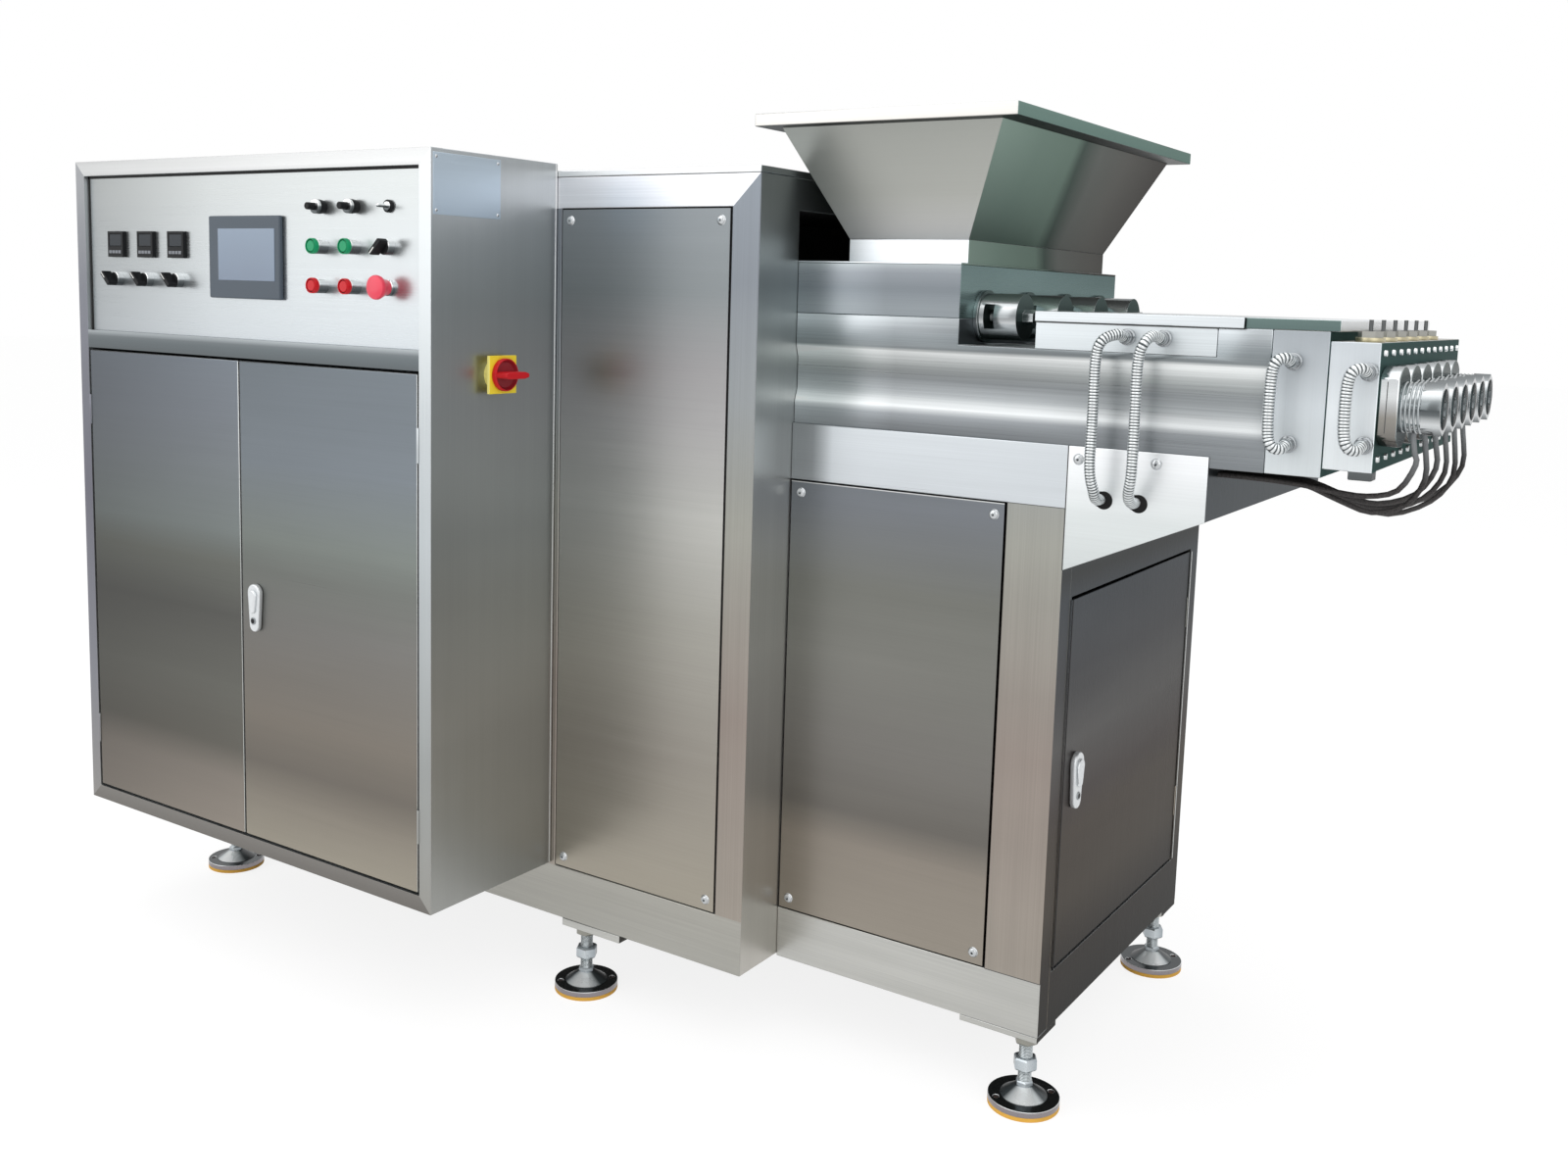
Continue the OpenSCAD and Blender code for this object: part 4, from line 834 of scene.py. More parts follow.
def end_tree(graph, given, geometry):
    """Ends a tree in real geometry with its material."""
    real = graph.node("GeometryNodeRealizeInstances", {}, {"Geometry": geometry})
    paint = graph.node("GeometryNodeSetMaterial", {}, {"Geometry": real, "Material": given["Material"]})
    graph.node("NodeGroupOutput", {}, {0: paint}, None)
    return graph.tree


def ribbed_tube_tree():
    """A line becomes a tube whose radius waves along its length."""
    labels = [("Radius", "Float"), ("Rib height", "Float"), ("Pitch", "Float")]
    graph, given = new_tree("ribbed_tube", labels)
    pitch = given["Pitch"]
    cut = {"Curve": given["Geometry"], "Length": pitch / STEPS_PER_RIB}
    line = graph.node("GeometryNodeResampleCurve", {"mode": "LENGTH"}, cut)
    along = graph.node("GeometryNodeSplineParameter", output="Length")
    wave = graph.maths("ABSOLUTE", graph.maths("SINE", along / pitch * math.pi))
    marked = graph.node("GeometryNodeStoreNamedAttribute", {"data_type": "FLOAT", "domain": "POINT"},
                        {"Geometry": line, "Name": "rib", "Value": wave})
    ring = graph.node("GeometryNodeCurvePrimitiveCircle", {"mode": "RADIUS"},
                      {"Resolution": TUBE_SIDES, "Radius": 1.0})
    radius = given["Radius"] + wave * given["Rib height"]
    tube = graph.node("GeometryNodeCurveToMesh", {},
                      {"Curve": marked, "Profile Curve": ring, "Scale": radius, "Fill Caps": True})
    smooth = graph.node("GeometryNodeSetShadeSmooth", {}, {"Geometry": tube})
    return end_tree(graph, given, smooth)


def fastener_tree():
    """Every point gets a head, turned so that it looks along the point's own direction."""
    labels = [(label, "Float") for label in ("Radius", "Height", "Recess", "Dome")] + [("Corners", "Int")]
    graph, given = new_tree("fasteners", labels)
    radius, height = given["Radius"], given["Height"]
    neck = radius * NECK_SHARE
    body = graph.node("GeometryNodeMeshCone", {}, {
        "Vertices": given["Corners"], "Depth": height, "Radius Bottom": radius, "Radius Top": neck})
    crown = graph.node("GeometryNodeMeshUVSphere", {}, {"Segments": 24, "Rings": 12, "Radius": neck})

    def moved(shape, z, stretch=1.0):
        """shape, lifted by z and stretched upwards."""
        lift = graph.node("ShaderNodeCombineXYZ", {}, {"X": 0.0, "Y": 0.0, "Z": z})
        size = graph.node("ShaderNodeCombineXYZ", {}, {"X": 1.0, "Y": 1.0, "Z": stretch})
        sockets = {"Geometry": shape, "Translation": lift, "Scale": size}
        return graph.node("GeometryNodeTransform", {}, sockets)

    head = graph.node("GeometryNodeJoinGeometry", {}, {0: [body, moved(crown, height, given["Dome"])]})
    deep = radius * RECESS_DEPTH
    bore = {"Vertices": 6, "Radius": given["Recess"], "Depth": deep}
    tool = graph.node("GeometryNodeMeshCylinder", {}, bore)
    cut = graph.node("GeometryNodeMeshBoolean", {"operation": "DIFFERENCE"},
                     {"Mesh 1": head, "Mesh 2": moved(tool, height + deep * 0.5)})
    facing = graph.node("GeometryNodeInputNamedAttribute", {"data_type": "FLOAT_VECTOR"}, {"Name": "facing"})
    turned = graph.node("FunctionNodeAlignRotationToVector", {"axis": "Z"}, {"Vector": facing})
    many = graph.node("GeometryNodeInstanceOnPoints", {},
                      {"Points": given["Geometry"], "Instance": cut, "Rotation": turned})
    return end_tree(graph, given, many)


RIBBED = ribbed_tube_tree()
FASTENERS = fastener_tree()


def grown(name, source, tree, inputs, finish, body, replaced=(), smooth=40):
    """Runs a tree on source and keeps the result as a plain mesh piece."""
    holder = bpy.data.objects.new(name + "_source", source)
    scene.collection.objects.link(holder)
    modifier = holder.modifiers.new("grow", "NODES")
    modifier.node_group = tree
    sockets = {item.name: item.identifier for item in tree.interface.items_tree if item.in_out == "INPUT"}
    for label, value in {**inputs, "Material": finish}.items():
        modifier[sockets[label]] = value
    graph = bpy.context.evaluated_depsgraph_get()
    mesh = bpy.data.meshes.new_from_object(holder.evaluated_get(graph))
    bpy.data.objects.remove(holder)
    mesh.name = name
    mesh.materials.clear()
    mesh.set_sharp_from_angle(angle=math.radians(smooth))
    return add_piece(name, mesh, [finish], body, replaced)


def points_of(name, places, facing):
    """Loose points at places, each with the direction that its head looks along."""
    mesh = bpy.data.meshes.new(name)
    mesh.from_pydata([tuple(p) for p in places], [], [])
    heading = mesh.attributes.new("facing", "FLOAT_VECTOR", "POINT")
    for i in range(len(places)):
        heading.data[i].vector = facing
    return mesh


def screws(name, places, facing, radius=9 * MM, height=1.5 * MM, recess=0.3, dome=0.4, finish=screw_steel):
    """Screw heads at places that look along facing. recess is a share of the radius."""
    inputs = {"Radius": radius, "Height": height, "Corners": 24, "Recess": recess * radius, "Dome": dome}
    points = points_of(name, places, facing)
    return grown(name, points, FASTENERS, inputs, finish, "machine")


print("node trees:", RIBBED.name, FASTENERS.name)

# %% [markdown]
# ## Cabinets
#
# The cabinets are folded sheet on welded frames. The panels sit in the frames with a dark joint of two
# to four millimetres around them, held by dome screws near their corners. The doors hang flush. The
# frame's members could be pieces of their own. Here one frame is cut along its weld lines, so that each
# member gets its own finish without a gap: its own painted light and reflection by height.

# %% Cabinets
frame_low, frame_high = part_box("control_front_frame")
door_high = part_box("right_door")[1]
panel_low, panel_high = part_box("control_panel")
MITRE = math.sqrt(0.5)


def mitre(x, z, turn):
    """A cutting plane at 45 degrees through a corner of the front."""
    return (x, 0.0, z), (MITRE, 0.0, turn * MITRE)


def by_frame_member(face):
    """The welded front frame: 4 left post, 5 right post, 6 bottom rail, 7 mid rail, 8 top rail."""
    if face.normal.y > -0.3:
        return by_facing(face)
    middle = face.calc_center_median()
    inside = panel_low.x < middle.x < panel_high.x
    if inside and door_high.z - 5 * MM < middle.z < panel_low.z + 5 * MM:
        return 7
    reach = [middle.x - frame_low.x, frame_high.x - middle.x, middle.z - frame_low.z, frame_high.z - middle.z]
    return (4, 5, 6, 8)[reach.index(min(reach))]


straight = [((panel_low.x, 0, 0), (1, 0, 0)), ((panel_high.x, 0, 0), (1, 0, 0))]
straight += [((0, 0, z), (0, 0, 1)) for z in (door_high.z, panel_low.z)]
corners = [mitre(frame_low.x, frame_low.z, -1), mitre(frame_high.x, frame_low.z, 1)]
corners += [mitre(frame_low.x, frame_high.z, 1), mitre(frame_high.x, frame_high.z, -1)]
dress("control_front_frame", FOLD_EDGE, frame_steels[0], cabinet_side, top_steel, by_frame_member,
      more=frame_steels, cuts=straight + corners)
dress("control_side_walls", SHEET_EDGE, cabinet_side, cabinet_side, top_steel)
dress("control_roof_and_floor", SHEET_EDGE, front_steel, cabinet_side, top_steel, under=under_steel)
dress("control_back_wall", SHEET_EDGE, front_steel, cabinet_side, top_steel)
dress("control_panel", 0.5 * MM, panel_steel)
dress("left_door", DOOR_EDGE, left_door_steel, edge_steel, edge_steel)
dress("right_door", DOOR_EDGE, right_door_steel, edge_steel, edge_steel)
print("cabinet frame, walls, panel and doors dressed")

# %% [markdown]
# Strips show how the cabinet is put together. The instrument panel lies behind its frame, and a dark
# strip along its top and sides is painted shadow from the frame's inner edges. One sheet covers the
# cabinet's right side up to the rounded front corner, with a light strip of painted highlight at its back
# corner. A painted line would be flat from the side, so each strip is a thin rounded bar.

# %% Joints of the control cabinet
STRIP = 5 * MM
strip_y = (panel_low.y - 0.8 * MM, panel_low.y + 0.5 * MM)
opening_low = Vector((panel_low.x, strip_y[0], panel_low.z))
opening_high = Vector((panel_high.x, strip_y[1], panel_high.z))
# The strip along the panel's top and sides is painted shadow from the frame's inner edges.
boxes("panel_shadow_strip", [
    (opening_low, (opening_low.x + STRIP, opening_high.y, opening_high.z)),
    ((opening_low.x, opening_low.y, opening_high.z - STRIP), opening_high),
    ((opening_high.x - 0.5 * STRIP, opening_low.y, opening_low.z), opening_high),
], 0.2 * MM, seam_dark, "machine")
sheet_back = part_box("control_back_wall")[1].y - 1 * MM
sheet_low, sheet_top = frame_low.z + 1 * MM, frame_high.z - 1 * MM
boxes("cabinet_side_sheet", [((frame_high.x, frame_low.y + 2.5 * MM, sheet_low),
                              (frame_high.x + 0.8 * MM, sheet_back, sheet_top))],
      0.3 * MM, cabinet_side, "machine")
# The light strip at the cabinet's back corner is a painted highlight.
boxes("cabinet_back_edge", [((frame_high.x - 2 * MM, sheet_back - 4 * MM, sheet_low),
                             (frame_high.x + 1.6 * MM, sheet_back, sheet_top))],
      0.8 * MM, edge_steel, "machine")
print("cabinet joints added")

# %% [markdown]
# The drive housing is one tall box. Its front has a strip above and below the screwed panel, with a
# mitred corner at the top right, and its opening towards the barrel is painted black inside as shade. The
# opening is already in the solid, so a rule on each face's place picks that painted shade for it, and for
# the joint behind the panel.

# %% Drive housing
housing_low, housing_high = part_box("drive_housing")
drive_panel_low, drive_panel_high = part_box("drive_front_panel")
barrel_front_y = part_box("barrel")[0].y
barrel_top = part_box("barrel")[1].z - 5 * MM
PANEL_GAP = 2.4 * MM
WIDE_GAP = 4.1 * MM


def by_housing(face):
    """4 painted shade in the joint behind the panel and inside the opening, 5 the strips, and else by facing.
    """
    middle = face.calc_center_median()
    if face.normal.y < -0.75 and housing_low.y + 3 * MM < middle.y < housing_low.y + 10 * MM:
        return 4
    across = barrel_front_y - 1 * MM < middle.y < housing_high.y - 50 * MM
    if across and middle.z > barrel_top and housing_low.x + 5 * MM < middle.x < housing_high.x - 1 * MM:
        return 4 if middle.z < housing_high.z - 1 * MM else by_facing(face)
    if face.normal.y < -0.3 and middle.y < housing_low.y + 3 * MM:
        above = middle.z > drive_panel_high.z and housing_high.x - middle.x > housing_high.z - middle.z
        return 5 if above or middle.z < drive_panel_low.z else 0
    return by_facing(face)


def flat_panel(node, finish):
    """A screwed sheet panel, a little smaller than its opening, most of all at its right edge."""
    low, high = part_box(node)
    gap = Vector((PANEL_GAP, 0, PANEL_GAP))
    wide = Vector((WIDE_GAP, 0, PANEL_GAP))
    corners = [(low + gap, high - wide)]
    return boxes("sheet_" + node, corners, 0.8 * MM, finish, BODY[node], [node])


housing_cuts = [((0, 0, z), (0, 0, 1)) for z in (drive_panel_low.z, drive_panel_high.z)]
housing_cuts += [((drive_panel_high.x, 0, 0), (1, 0, 0)), mitre(housing_high.x, housing_high.z, -1)]
dress("drive_housing", BLOCK_EDGE, post_steel, housing_side, top_steel, by_housing, under=under_steel,
      more=[bore_black, strip_steel], cuts=housing_cuts)
flat_panel("drive_front_panel", drive_steel)
dress("drive_roof", 2 * MM, edge_steel, housing_side, top_steel, under=under_steel)
print("drive housing dressed")

# %% [markdown]
# ## Base
#
# The base is a frame of wide flat members with a screwed sheet between them, and a door in its end.
# The top bar and the bracket plate under the barrel's end are brighter than the rest, and the top bar
# has painted shade at its left end. As on the cabinet, the frame is one piece that is cut where its members
# meet. Thin bars make the lines at the joints, bright lines of painted highlight along the panel's top
# and beside the side door, and a strip of painted shade at the side door's front edge.

# %% Base
base_panel_low, base_panel_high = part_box("base_front_panel")
base_low, base_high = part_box("base_front_frame")


def by_member(face):
    """The base frame's finish: 0 post, 1 side, 2 top, 3 underside, 4 top bar, 5 bottom rail."""
    middle = face.calc_center_median()
    if face.normal.y < -0.3 and middle.z > base_panel_high.z:
        return 4
    if face.normal.y < -0.3 and middle.z < base_panel_low.z:
        return 5
    return by_facing(face)


member_cuts = [((0, 0, base_panel_low.z), (0, 0, 1)), ((0, 0, base_panel_high.z), (0, 0, 1))]
dress("base_front_frame", 1.6 * MM, post_steel, side_steel, top_steel, by_member, under=under_steel,
      more=[bar_steel, rail_steel], cuts=member_cuts)
flat_panel("base_front_panel", front_steel)
dress("base_back_wall", SHEET_EDGE, front_steel, side_steel, top_steel)
dress("base_floor_and_deck", SHEET_EDGE, front_steel, side_steel, top_steel, under=under_steel)
dress("base_side_frame", 1.4 * MM, front_steel, side_steel, top_steel, under=under_steel)
dress("side_door", DOOR_EDGE, side_steel)
dress("bracket_plate", 0.8 * MM, plate_steel, side_steel, top_steel, under=under_steel)
dress("support_bracket", FOLD_EDGE, side_steel, under=under_steel)
dress("foot_pads", FOLD_EDGE, rail_steel, side_steel, top_steel)

side_door_low, side_door_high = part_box("side_door")
side_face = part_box("base_side_frame")[1].x
DOOR_GAP = 5 * MM
# side_door_line is a painted highlight beside the side door, and side_door_shade is painted shade at its
# front edge.
frame_edges = [
    ("side_door_line", side_door_high.y + 0.5 * DOOR_GAP, side_door_high.y + 1.1 * DOOR_GAP, edge_steel),
    ("side_door_shade", side_door_low.y - 1.1 * DOOR_GAP, side_door_low.y - 0.5 * DOOR_GAP, seam_dark),
]
for name, near, far, finish in frame_edges:
    corner = (side_face + 0.4 * MM, far, side_door_high.z)
    boxes(name, [((side_face - 0.5 * MM, near, side_door_low.z), corner)], LINE_EDGE, finish,
          "machine")
# A thin light bar along the base panel's top is a painted highlight.
line_top = base_panel_high.z - PANEL_GAP
EDGE_LINE = 1.6 * MM
edge_y = (base_panel_low.y - LINE_RISE, base_panel_low.y + LINE_DEPTH)
boxes("base_panel_edge", [((base_panel_low.x + PANEL_GAP, edge_y[0], line_top - EDGE_LINE),
                           (base_panel_high.x - WIDE_GAP, edge_y[1], line_top))],
      LINE_EDGE, edge_steel, "machine")
plate_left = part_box("bracket_plate")[0]
LINE = 1.2 * MM
line_y = (base_low.y - LINE_RISE, base_low.y + LINE_DEPTH)
seams = [((base_panel_high.x, line_y[0], z - LINE / 2), (base_high.x, line_y[1], z + LINE / 2))
         for z in (base_panel_high.z, base_panel_low.z)]
seams.append(((plate_left.x - LINE, line_y[0], plate_left.z), (plate_left.x, line_y[1], base_high.z)))
boxes("base_joint_lines", seams, LINE_EDGE, joint_grey, "machine")
print("base dressed")

# %% [markdown]
# ## Feet
#
# Six levelling feet: a rubber ring, a dark polished disc, a cone and a threaded stem
# with hexagon nuts that the fitter turns to level the machine. The solids have the disc with its two
# anchor holes. The cone and the nuts are spun from profiles instead, a nut with six steps, because the
# chamfers of a nut come free with its profile. The thread is a ribbed tube.

# %% Feet
STEM_RADIUS = 11 * MM
NUT_RADIUS = 20.7 * MM
THREAD_PITCH = 2.5 * MM
DISC_TOP = 17.1 * MM
CONE_TOP = 34 * MM
CONE = sized([(0, 15), (39, 15), (39.5, 18), (38, 18.4), (15.5, CONE_TOP / MM), (0, CONE_TOP / MM)])
stem_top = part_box("foot_stems")[1].z
foot_places = []
for corner in ("front_left", "front_middle", "front_right", "back_left", "back_middle", "back_right"):
    mount = [m for m in frame["record"]["mounts"] if m["name"] == f"foot_{corner}_anchor"][0]
    foot_places.append(Vector((mount["pos_m"][0], mount["pos_m"][1], 0)))


def by_disc(face):
    """The disc's top 0, its side 1 and the edge between them 2, which carries a painted highlight."""
    if face.normal.z > 0.95:
        return 0
    return 2 if face.normal.z > 0.3 else 1


def hexagon(radius, low, high):
    """The profile of a hexagon nut between two heights, with its corners turned off."""
    chamfer = 0.12 * radius
    return [(0, low), (radius - chamfer, low), (radius, low + chamfer), (radius, high - chamfer),
            (radius - chamfer, high), (0, high)]


UP = (0, 0, 1)
NUTS = [hexagon(15 * MM, CONE_TOP, CONE_TOP + 9 * MM), hexagon(NUT_RADIUS, 63 * MM, 84 * MM)]
# The top nut takes the darker zinc, painted shade.
TOP_NUT = hexagon(NUT_RADIUS, stem_top - 18 * MM, stem_top)
dress("foot_rubbers", 2 * MM, orange_rubber, segments=3)
dress("foot_stems", BLOCK_EDGE, dark_chrome, disc_side, disc_edge, by_disc, cuts=[((0, 0, DISC_TOP), UP)],
      crop=DISC_TOP)
lathes("foot_cones", [(CONE, p, UP, 0) for p in foot_places], [cone_chrome], "machine")
turned = [(nut, p, UP, 0) for p in foot_places for nut in NUTS] + [(TOP_NUT, p, UP, 1) for p in foot_places]
lathes("foot_nuts", turned, [nut_zinc, zinc], "machine", sharp=20, steps=6)
stems = [[p + Vector((0, 0, CONE_TOP)), p + Vector((0, 0, stem_top))] for p in foot_places]
grown("stem_threads", line_of("stem_threads", stems), RIBBED,
      {"Radius": STEM_RADIUS - 0.5 * MM, "Rib height": 1.1 * MM, "Pitch": THREAD_PITCH}, thread_zinc,
      "machine")
print("feet:", len(foot_places))

# %% [markdown]
# ## Barrel, feed block and hopper
#
# The barrel is a flat machined block with a shallow recess along its front. The hopper is folded from
# sheet and welded at its four corners, with a band around its mouth. All of these are in the frame, so they
# are dressed. What sets them apart is the finish: painted bands of light and shade along the barrel, and
# painted reflections in green, brown and grey on the hopper's end.

# %% Barrel and hopper
die_low, die_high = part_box("die_head")
CLAMP_HEIGHT = 12 * MM


def by_die(face):
    """Like by_facing, with a dark clamp, 4, under the die's front corner."""
    return 4 if face.calc_center_median().z < die_low.z + CLAMP_HEIGHT else by_facing(face)


hopper_middle = sum(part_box("hopper_rim"), Vector()) / 2


def by_hopper_end(face):
    """1 on the outside of the right end, which stands out to the right, and 0 elsewhere."""
    return 1 if face.normal.x > 0.3 and face.calc_center_median().x > hopper_middle.x else 0


def by_rim(face):
    """Like by_facing, with the side finish on the outer right side alone."""
    facing = by_facing(face)
    return by_hopper_end(face) if facing == 1 else facing


dress("barrel", BLOCK_EDGE, barrel_steel, side_steel, top_steel, under=under_steel)
dress("feed_block", FOLD_EDGE, feed_front, feed_side, top_steel)
dress("hopper_neck", 0.8 * MM, neck_front, hopper_end, top_steel)
dress("hopper_front_and_back", SHEET_EDGE, hopper_steel)
dress("hopper_ends", SHEET_EDGE, hopper_steel, hopper_end, choose=by_hopper_end)
dress("hopper_rim", BLOCK_EDGE, rim_steel, rim_side, top_steel, by_rim, under=under_steel)
dress("roller_bearings", BLOCK_EDGE, roller_chrome, roller_end, roller_chrome)
dress("junction_box", 1.0 * MM, box_metal, side_steel, top_steel, under=under_steel)
dress("junction_box_lid", FOLD_EDGE, box_metal, side_steel, top_steel, under=under_steel)
dress("end_cover", BLOCK_EDGE, cover_green, bright_head, cover_top)
dress("end_block", BLOCK_EDGE, cast_steel, die_side, zinc, under=under_steel)
dress("die_head", 1.6 * MM, die_front, die_side, zinc, by_die, under=under_steel, more=[clamp_grey],
      cuts=[((0, 0, die_low.z + CLAMP_HEIGHT), (0, 0, 1))])
# The dark bar under the lid's edge is the joint with painted shadow from the lid's overhang.
lid_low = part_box("junction_box_lid")[0]
junction_low, junction_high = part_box("junction_box")
boxes("lid_joint", [((lid_low.x, junction_low.y - 0.6 * MM, lid_low.z - 2 * MM),
                     (junction_high.x, junction_low.y + 1 * MM, lid_low.z))],
      0.2 * MM, joint_grey, "machine")
print("barrel and hopper dressed")

# %% [markdown]
# ## Nozzles
#
# Each nozzle has a flange with two flat sides, a threaded collar and a nut with flats. Rings of thread
# show between the flange and the nut. A real helix would cost many faces that nobody sees, so a tube with
# ribs stands for the thread. A thin dark ring with a bevelled edge on each tip's face is painted shade
# for the hollow of its open end.

# %% Nozzles
flange_low, flange_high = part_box("nozzle_flanges")
tip_low, tip_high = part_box("nozzle_tips")
NOZZLE_COUNT = 6
nozzle_z = (tip_low.z + tip_high.z) / 2
flange_width = (flange_high.y - flange_low.y) - (NOZZLE_COUNT - 1) * NOZZLE_PITCH * MM
nozzle_ys = [flange_low.y + flange_width / 2 + i * NOZZLE_PITCH * MM for i in range(NOZZLE_COUNT)]
thread_radius = flange_width / 2 - 5 * MM
NUT_LENGTH = 25 * MM
dress("nozzle_flanges", 2.0 * MM, flange_chrome, flange_end, flange_chrome, under=flange_chrome)
FLANGE_JOINT = flange_low.x + 10 * MM
JOINT_REACH = 36 * MM
joint_lines = []
for y in nozzle_ys:
    edge = y - flange_width / 2
    joint_lines.append(((FLANGE_JOINT, edge - LINE_RISE, nozzle_z - JOINT_REACH),
                        (FLANGE_JOINT + LINE, edge + MM, nozzle_z + JOINT_REACH)))
boxes("flange_joints", joint_lines, LINE_EDGE, joint_grey, "machine")
dress("nozzle_tips", FOLD_EDGE, nozzle_chrome, chrome, nozzle_chrome, under=nozzle_chrome)
thread_end = tip_high.x - NUT_LENGTH
threads = [[Vector((x, y, nozzle_z)) for x in (flange_high.x, thread_end)] for y in nozzle_ys]
grown("nozzle_threads", line_of("nozzle_threads", threads), RIBBED,
      {"Radius": thread_radius - 1.6 * MM, "Rib height": 3 * MM, "Pitch": 5.6 * MM}, thread_chrome,
      "machine")
BRASS_HEIGHT = 6 * MM
HEXAGON_TOP = 14 * MM
valve_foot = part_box("needle_valves")[0].z


def by_valve(face):
    """Brass foot 0, silver hexagon 1 and pin 2."""
    rise = face.calc_center_median().z - valve_foot
    if rise < BRASS_HEIGHT:
        return 0
    return 1 if rise < HEXAGON_TOP else 2


dress("needle_valves", SHEET_EDGE, brass, zinc, pin_steel, by_valve)

# The dark ring on each tip's face is painted shade for its hollow end.
DISH = sized([(29, 0), (27.5, 0.7), (14, 0.7), (13, 0), (29, 0)])
lathes("nozzle_dishes", [(DISH, (tip_high.x, y, nozzle_z), (1, 0, 0), 0) for y in nozzle_ys], [nozzle_end],
       "machine")
print("nozzles:", len(nozzle_ys), "at height", round(nozzle_z, 4))

# %% [markdown]
# ## Conduits
#
# The wires to the barrel run in flexible metal conduits, a strip wound into a corrugated tube, with glands
# on the barrel and the die. The two long ones end in holes of the bracket plate. They could be swept along
# a curve as smooth tubes, but the ribs catch the light. So the tree that made the threads makes them too.

# %% Conduits
BARREL_FRONT = 122
FITTING_FRONT = 106
BASE_FRONT = 118
HANG = 64
BEND = 26
PLATE = 4
LONG_TOPS = ((2040, 1283), (2096, 1283))
LONG_HOLES = ((2013, 1033), (2068, 1033))
LONG_SHIFT = (0, 10)
JUMPERS = ((2286, 1258, 1140), (2388, 1248, 1146))


def long_route(i):
    """A conduit from its gland on the barrel down to its hole in the bracket plate."""
    (tx, tz), (hx, hz), b = LONG_TOPS[i], LONG_HOLES[i], BEND
    run = hx + LONG_SHIFT[i]
    fall = tz - hz
    points = [
        (tx, FITTING_FRONT - 0.15 * b, tz), (tx - 0.15 * b, FITTING_FRONT - 0.85 * b, tz + 0.15 * b),
        (run + 0.3 * b, HANG, tz - 0.25 * b), (run, HANG, tz - 1.4 * b), (run, HANG, hz + 0.5 * fall),
        (run, HANG, hz + 0.21 * fall), (hx + 0.1 * b, HANG + 0.5 * b, hz + 0.7 * b),
        (hx, BASE_FRONT - 0.8 * b, hz + 0.1 * b), (hx, BASE_FRONT + PLATE / 2, hz),
    ]
    return row_frame([(tx, FITTING_FRONT, tz)] + smooth_route(points, 6))


def jumper_route(j):
    """A conduit from one gland to another one below it."""
    x, upper, lower = j
    b, front = BEND, FITTING_FRONT - BEND
    points = [
        (x, FITTING_FRONT - 0.15 * b, upper), (x - 0.15 * b, FITTING_FRONT - 0.65 * b, upper + 0.2 * b),
        (x - 0.55 * b, front, upper - 0.02 * b), (x - 0.75 * b, front, upper - 0.9 * b),
        (x - 0.75 * b, front, lower + 0.9 * b), (x - 0.55 * b, front, lower + 0.02 * b),
        (x - 0.15 * b, FITTING_FRONT - 0.65 * b, lower - 0.2 * b), (x, FITTING_FRONT - 0.15 * b, lower),
    ]
    return row_frame([(x, FITTING_FRONT, upper)] + smooth_route(points, 6) + [(x, FITTING_FRONT, lower)])


conduit_lines = [long_route(0), long_route(1), jumper_route(JUMPERS[0]), jumper_route(JUMPERS[1])]
grown("corrugated_conduits", line_of("corrugated_conduits", conduit_lines), RIBBED,
      {"Radius": 7.3 * MM, "Rib height": 1.2 * MM, "Pitch": 4.6 * MM}, conduit_metal, "machine",
      ["conduits"])
OUT = (0, -1, 0)
GLAND = [(0, 0), (12.5, 0), (12.5, 5), (11.5, 6), (10.4, 6.5), (10.4, 15), (9.4, 16), (0, 16)]
gland_places = [(x, BARREL_FRONT, z) for x, z in LONG_TOPS]
gland_places += [(x, BARREL_FRONT, z) for x, upper, lower in JUMPERS for z in (upper, lower)]
glands = [(sized(GLAND), place, OUT, 0) for place in row_frame(gland_places)]
lathes("conduit_glands", glands, [chrome], "machine", ["conduit_fittings"])
# Each hole is a black disc of painted shade on the bracket plate.
HOLE = sized([(0, 0), (14, 0), (14, 0.5), (0, 0.5)])
HOLE_SHIFT = (5, -1)
plate_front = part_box("bracket_plate")[0].y
hole_places = row_frame([(x + HOLE_SHIFT[0], 0, z + HOLE_SHIFT[1]) for x, z in LONG_HOLES])
holes = [(HOLE, (place.x, plate_front, place.z), OUT, 0) for place in hole_places]
lathes("conduit_holes", holes, [bore_black], "machine")
print("conduits:", len(conduit_lines))

# %% [markdown]
# ## Instruments
#
# The panel carries a touch screen, three temperature controllers, selectors and push buttons. Displays
# stay bare. A picture of the instruments on a flat plate would do from far away. Here the screen and the
# controllers are rounded blocks with a thin glass, which is how the real ones are built.

# %% Instruments
panel_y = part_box("control_panel")[0].y
screen_low, screen_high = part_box("touch_screen")
SCREEN_LEFT = 2 * MM
SCREEN_RIGHT = 12 * MM
housing_box = (screen_low - Vector((SCREEN_LEFT, 0, 0)), screen_high - Vector((SCREEN_RIGHT, 0, 0)))
boxes("screen_housing", [housing_box], 3 * MM, slate_plastic, "machine",
      ["touch_screen"])
GLASS = (160 * MM, 94 * MM)
GLASS_RISE = 5 * MM
centre = (screen_low + screen_high) / 2
glass_z = centre.z + GLASS_RISE
boxes("screen_face", [((centre.x - GLASS[0] / 2, screen_low.y - 0.6 * MM, glass_z - GLASS[1] / 2),
                       (centre.x + GLASS[0] / 2, screen_low.y + MM, glass_z + GLASS[1] / 2))],
      0.4 * MM, screen_glass, "machine")

